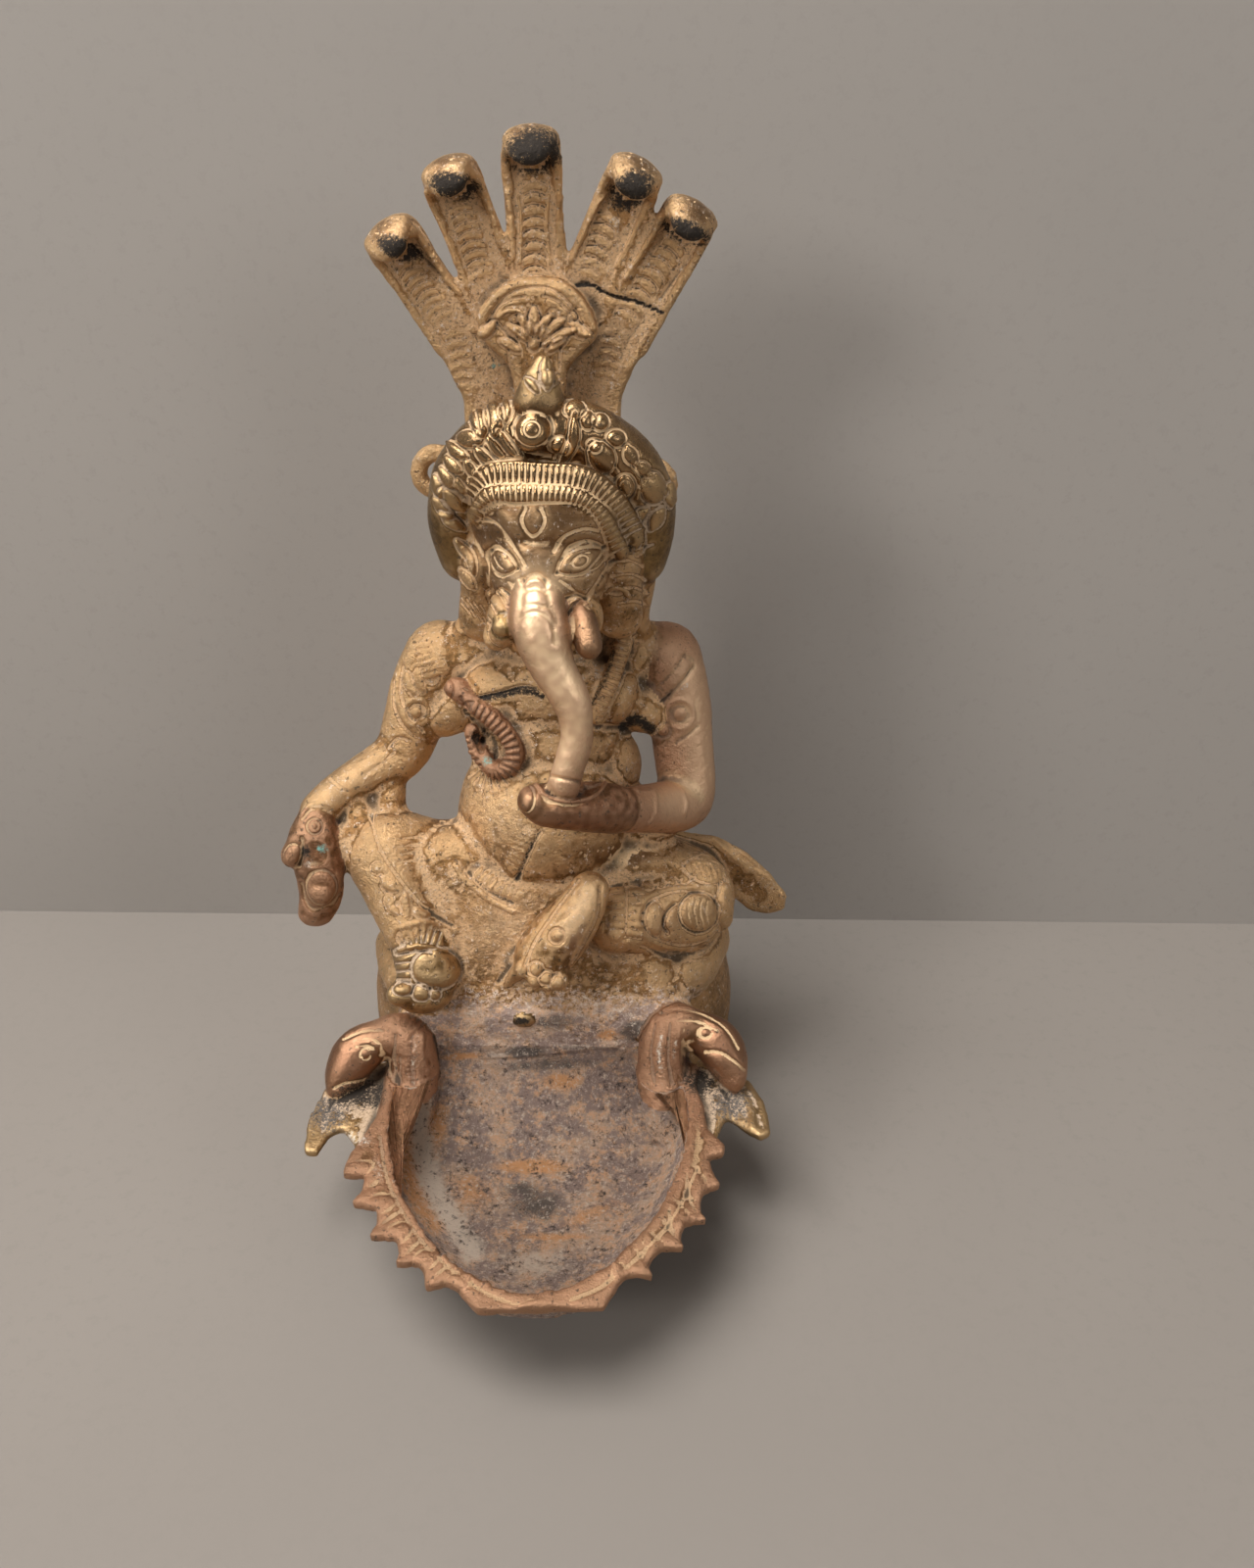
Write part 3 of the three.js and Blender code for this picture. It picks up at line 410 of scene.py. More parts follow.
def modelHood():
    y = hoodValues["middle"]
    outline = [(-14.5, 104), (14.5, 104), (15.1, 155), (20.4, 167), (23.2, 172.5), (14.6, 177.4), (9, 180.8),
               (4.7, 180.2), (-4.8, 180.4), (-9.2, 180.8), (-14.4, 176.6), (-22.6, 172), (-20.6, 166.5),
               (-15.1, 155)]
    plate("naga_hood", outline, hoodValues["thickness"], place=(0, y + 2.2, 0), bevel=0.8)
    limb("naga_hood", (0, y + 2, 160, 2.6), (0, y + 3, 135, 4.4), (0, y + 3.4, 105, 5.1), (0, 11, 71, 5.2),
         (0, 12, 46, 5.2), steps=4)
    for i, serpent in enumerate(serpents):
        node = f"naga_head_{i + 1}"
        fx, fz = serpent["foot"]
        tx, tz = serpent["top"]
        length = math.hypot(tx - fx, tz - fz)
        lean = math.degrees(math.atan2(tx - fx, tz - fz))
        ux, uz = (tx - fx) / length, (tz - fz) / length

        def station(up, back, rx, ry, across=0):
            return (fx + ux * up + uz * across, y + back, fz + uz * up - ux * across, rx, ry, ry)

        limb(node, station(-2, 0, 5, 2), station(length * 0.5, 0, 5.1, 2), station(length - 1.4, 0, 5.3, 2.1),
             station(length + 1.4, -1.2, 5.2, 2.3), station(length + 2, -3.6, 5, 2.2),
             station(length + 1, -6, 4.4, 2), station(length - 0.4, -7.8, 3.2, 1.8), steps=3, turn=(0, lean, 0))
        # side rims that run up into the canopy of the head
        for way in (-1, 1):
            limb(node, station(-2, -1.6, 0.9, 0.9, way * 4.3), station(length * 0.6, -1.8, 0.9, 0.9, way * 4.4),
                 station(length - 1, -3, 1, 1.2, way * 4.4), station(length, -5, 1, 1.2, way * 3.8), steps=2,
                 turn=(0, lean, 0))
    palmette = [(-4.5, 154), (4.5, 154), (5.2, 162), (8.6, 165.4), (11.1, 167.4), (10.2, 171.6), (7.6, 175),
                (4, 177), (0, 177.4), (-4, 177.2), (-7.8, 175), (-10.6, 171.6), (-11.1, 167.6),
                (-8.6, 165.2), (-5.2, 162)]
    plate("palmette", palmette, 5.4, place=(0, 3.5, 0), bevel=1.3)


def modelTrim():
    for node, x, z in (("ribbon_left", -20.7, 140), ("ribbon_right", 20.7, 138)):
        ring = [(x + 4.1 * math.cos(a), 6.1, z + 4.1 * math.sin(a), 1.8, 1.6, 1.8) for a in
                [math.tau * i / 14 for i in range(15)]]
        limb(node, *ring, steps=1)
    limb("cord_loop", (-17.3, -12, 101.6, 2.3), (-14.6, -13.6, 99.8, 2), (-10.6, -16, 97.4, 1.9),
         (-7, -18, 94.4, 1.9), (-5.4, -19, 90.8, 1.9), (-7, -19, 87.6, 1.9), (-10.2, -17.8, 86.7, 1.9),
         (-13.2, -15.8, 89.4, 1.8), (-14.4, -14.4, 93.4, 1.7), steps=4)
    limb("necklace_strap", (16.2, -8.6, 110.6, 1.9), (13.6, -13.2, 104.4, 1.9), (11, -16.2, 97.8, 1.9), steps=4)
    sash = [(20.5, 57.5), (38.5, 50.5), (45, 44.4), (49, 43.6), (53, 45.2), (52.6, 48.6), (49.5, 54),
            (43.5, 59.8), (36.5, 64), (24.5, 65.8)]
    plate("sash", sash, 2.2, place=(0, -6.2, 0), bevel=0.6)
    limb("lap_rivet", (-4, -36.4, 36.5, 2.3, 0.9, 1.7), (-4, -30, 36.5, 1.2), steps=1)


# oil pan
panValues = {"rim": 25, "floor": 12.6, "wall": 2.3, "floorThickness": 2.6, "inset": 10, "back": -7.4,
             "seat": (-1.2, -29), "lean": 2.5, "droop": 1.8, "droopStart": 46, "droopEnd": 70, "open": 6}
panTurn = Matrix.Translation((*panValues["seat"], 0)) @ Matrix.Rotation(math.radians(panValues["lean"]), 4, "Z")
panSide = [(30, -12), (30.4, -26), (28.2, -38), (23.8, -48.5), (17.6, -57.5), (10.6, -63.6), (4.6, -66),
           (0, -66.4)]


def seatPan(bm):
    # the tip sags a little; then the pan goes to its place before the stand
    p = panValues
    for v in bm.verts:
        share = min(max((-v.co.y - p["droopStart"]) / (p["droopEnd"] - p["droopStart"]), 0), 1)
        v.co.z -= p["droop"] * share ** 2
    bmesh.ops.transform(bm, matrix=panTurn, verts=bm.verts)


def panRing(inset, grow, back, z):
    rows = smoothPath([(x, y, 0, 1) for x, y in [(30, 2)] + panSide], 4)
    right = [(30 - inset + grow, back)]
    for i, row in enumerate(rows):
        if row[1] > -10:
            continue
        before, after = rows[max(i - 1, 0)], rows[min(i + 1, len(rows) - 1)]
        along = Vector((after[0] - before[0], after[1] - before[1])).normalized()
        if i == len(rows) - 1:
            along = Vector((-1, 0))
        shift = inset * (1 + 0.7 * abs(along.x)) - grow
        right.append((max(row[0] + along.y * shift, 0.02), row[1] - along.x * shift))
    left = [(-x, y) for x, y in reversed(right)]
    return [(x, y, z) for x, y in right + left]


def panBlock(grow, floorZ, topZ, back, backSlope=1.0, levels=7):
    bm = bmesh.new()
    rings = []
    for i in range(levels):
        share = i / (levels - 1)
        angle = share * math.pi / 2
        inset = panValues["inset"] * (0.35 * share + 0.65 * (1 - math.cos(angle)))
        z = topZ - (topZ - floorZ) * math.sin(angle)
        rings.append([bm.verts.new(p) for p in panRing(inset, grow, back - inset * backSlope - grow, z)])
    for upper, lower in zip(rings, rings[1:]):
        bmesh.ops.bridge_loops(bm, edges=[e for ring in (upper, lower) for e in ringEdges(bm, ring)])
    bm.faces.new(rings[0])
    bm.faces.new(rings[-1])
    bmesh.ops.recalc_face_normals(bm, faces=bm.faces)
    seatPan(bm)
    return bm


def ringEdges(bm, ring):
    edges = []
    for a, b in zip(ring, ring[1:] + ring[:1]):
        edges.append(bm.edges.get((a, b)) or bm.edges.new((a, b)))
    return edges


def modelPan():
    p = panValues
    addTo("lamp_pan", panBlock(p["wall"], p["floor"] - p["floorThickness"], p["rim"] + 0.8, p["inset"] + 6))
    plate("lamp_pan", [(-29.5, -24), (28, -24), (27.5, -36.4), (-30, -36.4)], 5.6, place=(0, 0, 23.6),
          turn=(0, 0, 0), bevel=0.3)
    hollow = panBlock(0, p["floor"], p["rim"] + 1.6, p["back"], 2.2)
    lid = [f for f in hollow.faces if f.normal.z > 0.5 and f.calc_center_median().z > p["rim"] - 1]
    grown = bmesh.ops.extrude_face_region(hollow, geom=lid)
    bmesh.ops.translate(hollow, vec=(0, 0, p["open"]), verts=newVertices(grown))
    bmesh.ops.recalc_face_normals(hollow, faces=hollow.faces)
    return hollow


borderValues = {
    # outer edge of the flames on the right and on the left, from the serpent's corner to the lip
    "right": [(33.6, -10), (32.4, -17), (33.5, -22), (33.8, -29), (36.8, -33.5), (36.6, -36), (33.4, -36.4),
              (34.2, -41.4), (35.4, -43.8), (31.4, -45), (30.6, -49.8), (32, -52.2), (27.4, -52),
              (26.4, -56), (27.4, -58.2), (22.4, -57.6), (20.4, -61.4), (21.4, -63.8), (15.8, -62.8),
              (14, -66.4), (12.2, -69.4), (6, -69.1), (0, -69.2)],
    "left": [(-32.8, -10), (-31.6, -20), (-33.6, -26), (-36.6, -34), (-37.4, -38.4), (-33, -39), (-33.2, -43.4),
             (-35, -46.4), (-29.6, -46.8), (-29.4, -51), (-30.6, -54), (-25.4, -53.8), (-24.6, -57.6),
             (-25.2, -60), (-20.6, -59.4), (-19.4, -62.6), (-19.6, -64.6), (-14.8, -63.6), (-12, -66.8),
             (-10, -69.4), (-5, -69.2)],
    "low": 24.4, "thickness": 2.4,
}
finOutlines = {
    "fin_left": [(-29, -5), (-38.4, -6.4), (-45, -14), (-46.6, -22), (-46.2, -31), (-43.6, -31.4), (-42, -26.4),
                 (-39.4, -24.8), (-36.4, -29.4), (-36, -33), (-29, -33)],
    "fin_right": [(29, -8), (38.6, -9), (44.4, -13.6), (46.6, -20), (47, -28.4), (44.6, -30), (41.6, -27.4),
                  (38.4, -23.6), (36.4, -28), (34.6, -32), (29, -32)],
}


def panPlate(node, corners, low, thickness):
    bm = slab(corners, thickness, low)
    seatPan(bm)
    addTo(node, bm)


def modelPanTrim():
    b = borderValues
    panPlate("pan_border", b["right"] + b["left"][::-1], b["low"], b["thickness"])
    for node, corners in finOutlines.items():
        panPlate(node, corners, 22.6, 2)
    for node, way, rise in (("side_serpent_left", -1, 0), ("side_serpent_right", 1, 2.5)):
        x, y, z = panValues["seat"][0] + way * 30, panValues["seat"][1] - 9 + rise / 2, rise

        def station(across, back, up, *radii):
            return (x + way * across, y + back, z + up, *radii)

        limb(node, station(-2.6, -11, 14.5, 4), station(-3.8, -7, 19.5, 4.8), station(-4, -3, 25, 5.1),
             station(-3.2, -0.8, 31, 5.1), station(-0.8, -0.2, 33.4, 4.8), station(3, -0.4, 32.4, 4.4),
             station(7.2, -1.8, 30.8, 5.2, 5, 5), station(9.4, -4.6, 28.4, 4.5), station(10.8, -7, 26.2, 3),
             station(11.2, -8.2, 25, 1.9), steps=3)


modelStand()
modelCushion()
modelLapCloth()
modelTorso()
modelLegs()
modelArms()
modelHead()
modelCrown()
modelHood()
modelTrim()
bowl = modelPan()
modelPanTrim()
print("forms of clay:", len(clay))


# fuse the clay
def meshOf(bm, name):
    mesh = bpy.data.meshes.new(name)
    bm.to_mesh(mesh)
    bm.free()
    return mesh


def inScene(name, mesh):
    thing = bpy.data.objects.new(name, mesh)
    bpy.context.scene.collection.objects.link(thing)
    return thing


def modifier(thing, kind, **values):
    made = thing.modifiers.new(kind, kind)
    for key, value in values.items():
        setattr(made, key, value)


def evaluated(thing):
    return bpy.data.meshes.new_from_object(thing.evaluated_get(bpy.context.evaluated_depsgraph_get()))


nodes = list(clay)
afterBowl = ["side_serpent_left", "side_serpent_right"]
owner = []
allClay, wetClay, lateClay = bmesh.new(), bmesh.new(), bmesh.new()
for index, node in enumerate(nodes):
    before = len(allClay.faces)
    mesh = meshOf(clay[node], node)
    allClay.from_mesh(mesh)
    (lateClay if node in afterBowl else wetClay).from_mesh(mesh)
    bpy.data.meshes.remove(mesh)
    owner += [index] * (len(allClay.faces) - before)
clayTree = BVHTree.FromBMesh(allClay)
bowlTree = BVHTree.FromBMesh(bowl)
bowlObject = inScene("bowlCutter", meshOf(bowl, "bowlCutter"))
first = inScene("firstWax", meshOf(wetClay, "firstWax"))
modifier(first, "REMESH", mode="VOXEL", voxel_size=clayValues["grain"])
modifier(first, "BOOLEAN", operation="DIFFERENCE", object=bowlObject, solver="FAST")
hollowed = evaluated(first)
lateClay.from_mesh(hollowed)
second = inScene("secondWax", meshOf(lateClay, "secondWax"))
modifier(second, "REMESH", mode="VOXEL", voxel_size=clayValues["grain"])
modifier(second, "SMOOTH", factor=0.5, iterations=clayValues["smoothing"])
fused = evaluated(second)
for thing in (bowlObject, first, second):
    bpy.data.objects.remove(thing)
print("wax fused:", len(fused.polygons), "faces")


# which piece each bit of the wax belongs to
def numbers(things, key, width, kind=np.float32):
    out = np.empty(len(things) * width, kind)
    things.foreach_get(key, out)
    return out.reshape(-1, width) if width > 1 else out


labelValues = {"bowlMargin": 0.3, "pillarFoot": 2, "bowlReach": 12, "rounds": 4, "ownVote": 1.5,
               "smallestIsland": 160, "islandShare": 0.4}
centres = numbers(fused.polygons, "center", 3)
labels = np.empty(len(centres), np.int32)
for i, centre in enumerate(centres.tolist()):
    place, _, face, distance = clayTree.find_nearest(centre)
    labels[i] = owner[face]
    if distance > labelValues["bowlMargin"]:
        _, _, _, near = bowlTree.find_nearest(centre, distance)
        if near is not None and near < distance:
            labels[i] = nodes.index("lamp_pan")
    # below the rim the serpents' pillars are part of the pan's wall
    low = centre[2] < panValues["rim"] - labelValues["pillarFoot"]
    if nodes[labels[i]] in afterBowl and low and bowlTree.find_nearest(centre, labelValues["bowlReach"])[0]:
        labels[i] = nodes.index("lamp_pan")


def faceNeighbours(mesh):
    loopEdge = numbers(mesh.loops, "edge_index", 1, np.int32)
    sizes = numbers(mesh.polygons, "loop_total", 1, np.int32)
    loopFace = np.repeat(np.arange(len(sizes)), sizes)
    order = np.argsort(loopEdge, kind="stable")
    edges, faces = loopEdge[order], loopFace[order]
    same = edges[1:] == edges[:-1]
    return np.stack([faces[:-1][same], faces[1:][same]], 1)


def settleLabels(labels, pairs, rounds):
    count = len(nodes)
    a, b = pairs.T
    for _ in range(rounds):
        votes = np.zeros((len(labels), count), np.float32)
        np.add.at(votes, (a, labels[b]), 1)
        np.add.at(votes, (b, labels[a]), 1)
        votes[np.arange(len(labels)), labels] += labelValues["ownVote"]
        labels = votes.argmax(1).astype(np.int32)
    return labels


def dropIslands(labels, pairs, smallest):
    near = [[] for _ in range(len(labels))]
    for a, b in pairs.tolist():
        near[a].append(b)
        near[b].append(a)
    seen = np.zeros(len(labels), bool)
    biggest = np.bincount(labels, minlength=len(nodes))
    for start in range(len(labels)):
        if seen[start]:
            continue
        group, border, own = [start], {}, labels[start]
        seen[start] = True
        for face in group:
            for other in near[face]:
                if labels[other] == own:
                    if not seen[other]:
                        seen[other] = True
                        group.append(other)
                else:
                    border[labels[other]] = border.get(labels[other], 0) + 1
        if len(group) < min(smallest, labelValues["islandShare"] * biggest[own]) and border:
            labels[group] = max(border, key=border.get)
    return labels


pairs = faceNeighbours(fused)
labels = settleLabels(labels, pairs, labelValues["rounds"])
labels = dropIslands(labels, pairs, labelValues["smallestIsland"])
print("pieces labelled:", len(set(labels.tolist())))

# finer wax where the ornament is
fineNodes = ["head", "trunk", "tusk", "tusk_stub", "diadem_upper", "diadem_lower", "crown_boss", "crown_jewel",
             "crown_crest", "palmette", "hand_left", "hand_right", "foot_folded", "foot_pendant", "cord_loop",
             "necklace_strap", "lap_rivet"] + [f"naga_head_{i}" for i in range(1, 6)]
bm = bmesh.new()
bm.from_mesh(fused)
tag = bm.faces.layers.int.new("label")
fine = {nodes.index(n) for n in fineNodes}
chosen = set()
for face, label in zip(bm.faces, labels.tolist()):
    face[tag] = label
    if label in fine:
        chosen.update(face.edges)
bmesh.ops.subdivide_edges(bm, edges=list(chosen), cuts=1, use_grid_fill=True)
bpy.data.meshes.remove(fused)
wax = meshOf(bm, "wax")
labels = np.empty(len(wax.polygons), np.int32)
wax.attributes["label"].data.foreach_get("value", labels)
wax.attributes.remove(wax.attributes["label"])
print("wax refined:", len(wax.polygons), "faces")

spots = numbers(wax.vertices, "co", 3)
edges = numbers(wax.edges, "vertices", 2, np.int32)
degree = np.maximum(np.bincount(edges.ravel(), minlength=len(spots)), 1)[:, None]


def around(values):
    total = np.empty_like(values)
    for k in range(values.shape[1]):
        total[:, k] = (np.bincount(edges[:, 0], values[edges[:, 1], k], len(spots))
                       + np.bincount(edges[:, 1], values[edges[:, 0], k], len(spots)))
    return total / degree


def relax(weight, rounds):
    global spots
    for _ in range(rounds):
        spots = spots + weight * (around(spots) - spots)


def refresh():
    wax.vertices.foreach_set("co", spots.astype(np.float32).ravel())
    wax.update()
    return numbers(wax.vertex_normals, "vector", 3)


# soft fillets where parts of the body run into each other
filletValues = {"spreadRounds": 5, "spread": 1.15, "strength": 1.6, "blurRounds": 3, "rounds": 24,
                "allRounds": 2}
softNodes = ["torso", "arm_left", "arm_right", "leg_pendant", "leg_folded", "lap_cloth", "hand_left", "cushion",
             "naga_hood", "ear_left", "ear_right", "head", "foot_pendant", "stand", "side_serpent_left",
             "side_serpent_right", "lamp_pan"]
loopVertex = numbers(wax.loops, "vertex_index", 1, np.int32)
faceSizes = numbers(wax.polygons, "loop_total", 1, np.int32)
loopLabel = np.repeat(labels, faceSizes)
lowest = np.full(len(spots), 999, np.int32)
highest = np.full(len(spots), -1, np.int32)
np.minimum.at(lowest, loopVertex, loopLabel)
np.maximum.at(highest, loopVertex, loopLabel)
soft = np.isin(lowest, [nodes.index(n) for n in softNodes]) & np.isin(highest,
        [nodes.index(n) for n in softNodes])
seam = ((lowest != highest) & soft).astype(float)[:, None]
f = filletValues
for _ in range(f["spreadRounds"]):
    seam = np.maximum(seam, around(seam) * f["spread"])
seam = np.clip(seam * f["strength"], 0, 1)
for _ in range(f["blurRounds"]):
    seam = around(seam)
relax(0.5 * seam, f["rounds"])
relax(0.5, f["allRounds"])
normals = refresh()
print("wax smoothed")

# ornament pressed into the wax, drawn where the photograph shows it
members = {node: np.unique(loopVertex[loopLabel == i]) for i, node in enumerate(nodes)}
rise = np.zeros(len(spots))
dust = np.zeros(len(spots))
# stains in the colour; the dark stain is painted shade in creases, hollows and under parts, the worn-bright
# stain also carries a painted sheen, and the brown stain is in places a painted shade
stainNames = ("dark", "copper", "green", "soot", "pale", "brown", "rubbed", "burnt")
stain = {name: np.zeros(len(spots)) for name in stainNames}
viewValues = {"cell": 4, "behind": 3, "grazing": 0.02, "fade": 0.2, "backScale": 5, "backFade": 0.3}


def seenFromCamera():
    offset = spots - np.array(cameraValues["place"])
    local = offset @ np.array(cameraTurn)
    u = photoWidth / 2 - local[:, 0] * focusPixels / local[:, 2]
    v = photoHeight / 2 + local[:, 1] * focusPixels / local[:, 2]
    facing = -(normals * offset).sum(1) / np.linalg.norm(offset, axis=1)
    # what lies more than a few millimetres behind the nearest spot of its cell is hidden
    size, behind = viewValues["cell"], viewValues["behind"]
    row = (np.clip(v, 0, photoHeight - 1) // size).astype(int)
    cell = (np.clip(u, 0, photoWidth - 1) // size).astype(int) * (photoHeight // size + 1) + row
    nearest = np.full(cell.max() + 1, np.inf)
    np.minimum.at(nearest, cell, -local[:, 2])
    unhidden = -local[:, 2] < nearest[cell] + behind
    return u, v, np.clip((facing - viewValues["grazing"]) / viewValues["fade"], 0, 1) * unhidden


photoView = seenFromCamera()
backScale = viewValues["backScale"]
backFacing = np.clip(normals[:, 1] / viewValues["backFade"], 0, 1)
backView = (spots[:, 0] * backScale, -spots[:, 2] * backScale, backFacing)


def reach(where, view, low, high):
    names = [where] if isinstance(where, str) else where
    own = np.concatenate([members[name] for name in names])
    u, v, weight = (row[own] for row in view)
    near = (u > low[0]) & (u < high[0]) & (v > low[1]) & (v < high[1]) & (weight > 0)
    return own[near], u[near], v[near], weight[near]


def alongPath(path, where, view, wide):
    rows = spline(path, 5)
    own, u, v, weight = reach(where, view, rows.min(0) - wide, rows.max(0) + wide)
    best = np.full(len(own), np.inf)
    side, travel = np.zeros(len(own)), np.zeros(len(own))
    start = 0.0
    for a, b in zip(rows, rows[1:]):
        step = b - a
        length = math.hypot(*step)
        if length == 0:
            continue
        du, dv = u - a[0], v - a[1]
        t = np.clip((du * step[0] + dv * step[1]) / length ** 2, 0, 1)
        distance = np.hypot(du - t * step[0], dv - t * step[1])
        closer = distance < best
        best[closer] = distance[closer]
        travel[closer] = start + t[closer] * length
        side[closer] = ((step[0] * dv - step[1] * du) / length)[closer]
        start += length
    return own, best, side, travel, start, weight


def press(own, amount, high, fill=0.0):
    rise[own] += amount * high
    if fill:
        dust[own] = np.maximum(dust[own], amount * fill)


def pressLine(own, far, wide, weight, high, fill):
    # a groove holds dust unless told otherwise, a ridge holds none
    if fill is None:
        fill = 0.9 if high < 0 else 0
    press(own, weight * np.exp(-(far / wide) ** 2), high, fill)


def line(where, path, wide, high, fill=None, view=photoView):
    own, far, _, _, _, weight = alongPath(path, where, view, wide * 3)
    pressLine(own, far, wide, weight, high, fill)


def ribs(where, path, half, pitch, high, slant=0.0, view=photoView):
    own, far, side, travel, _, weight = alongPath(path, where, view, half + 3)
    inside = np.clip((half - far) / 2 + 0.5, 0, 1) * weight
    wave = 0.5 + 0.5 * np.cos(math.tau * (travel + slant * side) / pitch)
    groove = wave ** 3
    rise[own] += inside * high * (0.4 - groove)
    dust[own] = np.maximum(dust[own], inside * groove * 0.9)


def ellipse(where, view, centre, size, turn, share, margin=0):
    # the spots round an ellipse, how many radii each lies from its middle, and the two radii
    a, b = size if isinstance(size, tuple) else (size, size)
    big = max(a, b) * share + margin
    own, u, v, weight = reach(where, view, (centre[0] - big, centre[1] - big),
                              (centre[0] + big, centre[1] + big))
    c, s = math.cos(math.radians(turn)), math.sin(math.radians(turn))
    du, dv = u - centre[0], v - centre[1]
    return own, np.hypot((du * c + dv * s) / a, (dv * c - du * s) / b), weight, a, b


def dome(where, centre, size, high, turn=0.0, flat=2.0, fill=0.0, view=photoView):
    own, r, weight, a, b = ellipse(where, view, centre, size, turn, 1.6)
    press(own, weight * np.clip(1 - r ** flat, 0, 1) ** 0.6, high, fill)
    rim = weight * np.exp(-((r - 1.08) * min(a, b) / 1.8) ** 2)
    if high > 0:
        press(own, rim, -0.35 * abs(high), 0.8)


def ring(where, centre, size, wide, high, turn=0.0, fill=None, view=photoView):
    own, r, weight, a, b = ellipse(where, view, centre, size, turn, 1, wide * 3)
    far = (r - 1) * (a + b) / 2
    pressLine(own, far, wide, weight, high, fill)


def leaf(where, start, end, wide, high, bend=0.0, veins=0, view=photoView):
    (x0, y0), (x1, y1) = start, end
    length = math.hypot(x1 - x0, y1 - y0)
    ax, ay = (x1 - x0) / length, (y1 - y0) / length
    middle = ((x0 + x1) / 2 - ay * bend, (y0 + y1) / 2 + ax * bend)
    own, far, side, travel, total, weight = alongPath([start, middle, end], where, view, wide * 2)
    t = np.clip(travel / total, 0, 1)
    half = wide * np.sqrt(np.clip(np.sin(np.pi * np.clip(t * 0.92 + 0.05, 0, 1)), 0.02, 1))
    r = far / half
    body = np.clip(1 - r ** 2.4, 0, 1) ** 0.6
    press(own, weight * body, high)
    press(own, weight * np.exp(-((r - 1.12) * half / 1.6) ** 2), -0.4 * abs(high), 0.85)
    for k in range(veins):
        offset = wide * ((k + 1) / (veins + 1) * 2 - 1) * 0.8
        press(own, weight * body * np.exp(-((side - offset) / 1.2) ** 2), -0.4 * abs(high), 0.8)


def scales(where, path, half, pitch, high, sag=5.0, view=photoView):
    own, far, side, travel, length, weight = alongPath(path, where, view, half + 2)
    inside = np.clip((half - far) / 1.5 + 0.5, 0, 1) * weight * (travel > 1) * (travel < length - 1)
    row = (travel - sag * (side / half) ** 2) / pitch
    share = row - np.floor(row)
    groove = np.exp(-(np.minimum(share, 1 - share) * pitch / 1.7) ** 2)
    rise[own] += inside * high * ((1 - share) * 0.7 - groove)
    dust[own] = np.maximum(dust[own], inside * groove * 0.7)


def smear(where, name, centre, size, strength=1.0, turn=0.0, view=photoView):
    own, r, weight, _, _ = ellipse(where, view, centre, size, turn, 1.8)
    stain[name][own] = np.maximum(stain[name][own], weight * strength * np.exp(-(r ** 2) * 1.3))


def streak(where, name, path, wide, strength=1.0, view=photoView):
    own, far, _, _, _, weight = alongPath(path, where, view, wide * 2.5)
    stain[name][own] = np.maximum(stain[name][own], weight * strength * np.exp(-(far / wide) ** 2))


def pressAll(where, strokes):
    # strokes are named; each name has its tool and one row of the tool's values for each stroke
    for tool, *rows in strokes.values():
        for row in rows:
            tool(where, *row)


# strokes of the crown, each at its pixels in the photograph
crown = ["crown_crest", "head", "ribbon_left", "ribbon_right"]
pressAll("crown_boss", {
    "lump": (dome, ((544, 437), 18, 0.2)),
    "ring": (ring, ((543, 438), 8, 1.6, -0.25)),
})
pressAll(["crown_crest", "crown_boss"], {"ring": (ring, ((544, 438), (21, 20), 2.2, -0.5))})
pressAll("crown_crest", {
    "lumps": (dome, ((571, 455), (10, 9), 0.9), ((587, 417), (11, 10), 0.9), ((600, 428), (8, 10), 0.8),
        ((613, 430), 9, 0.9), ((629, 447), (10, 9), 0.9), ((614, 467), (14, 17), 1.1, -20),
        ((606, 454), (7, 6), 0.6), ((638, 497), (10, 12), 1), ((667, 498), (13, 16), 1.1),
        ((480, 448), (14, 9), 0.8, 0, 4)),
    "leaves": (leaf, ((586, 424), (572, 474), 6, 0.8, -6), ((650, 474), (664, 484), 7, 0.8),
        ((640, 456), (648, 474), 7, 0.6), ((685, 494), (684, 516), 7, 0.7), ((676, 520), (665, 540), 7, 0.6),
        ((478, 410), (492, 444), 10, 1, -4, 1), ((500, 406), (505, 444), 9, 1, -3),
        ((517, 408), (516, 430), 6, 0.6), ((498, 446), (524, 470), 5, 0.8, 3),
        ((510, 440), (533, 468), 5, 0.9, 3)),
    "lines": (line, ([(580, 430), (578, 448), (566, 468)], 1.6, -0.35),
        ([(648, 482), (654, 495), (650, 508)], 2.2, 0.7),
        ([(522, 436), (528, 452), (544, 463), (562, 466)], 2.4, -0.35)),
    "ring": (ring, ((638, 497), (6, 8), 1.2, -0.3)),
})
pressAll(crown, {
    "tufts": (leaf, *((start, end, wide, 0.7, 2) for start, end, wide in (
        ((458, 452), (476, 466), 6), ((456, 466), (470, 482), 6), ((450, 478), (466, 498), 6),
        ((444, 486), (452, 506), 6), ((452, 500), (474, 520), 7), ((444, 508), (462, 526), 6),
        ((476, 470), (490, 486), 5), ((486, 456), (504, 472), 5), ((466, 490), (482, 508), 5),
        ((452, 522), (470, 536), 6), ((640, 512), (628, 526), 5), ((660, 520), (646, 536), 6)))),
    "creases": (line, *((path, 1.5, -0.3) for path in (
        [(462, 494), (472, 508), (484, 516)], [(466, 486), (478, 500), (488, 508)], [(616, 482), (628, 490)],
        [(590, 452), (600, 466), (606, 480)], [(624, 470), (632, 482)]))),
})
pressAll("diadem_upper", {
    "ribs": (ribs, (diademRolls["diadem_upper"]["path"], 10, 6.2, 0.26)),
    "line": (line, ([(478, 494), (492, 478), (521, 473), (560, 475), (598, 478), (622, 491), (640, 510),
        (656, 540)], 1.8, 0.3)),
})
pressAll("diadem_lower", {"ribs": (ribs, (diademRolls["diadem_lower"]["path"], 8, 5.8, 0.24))})
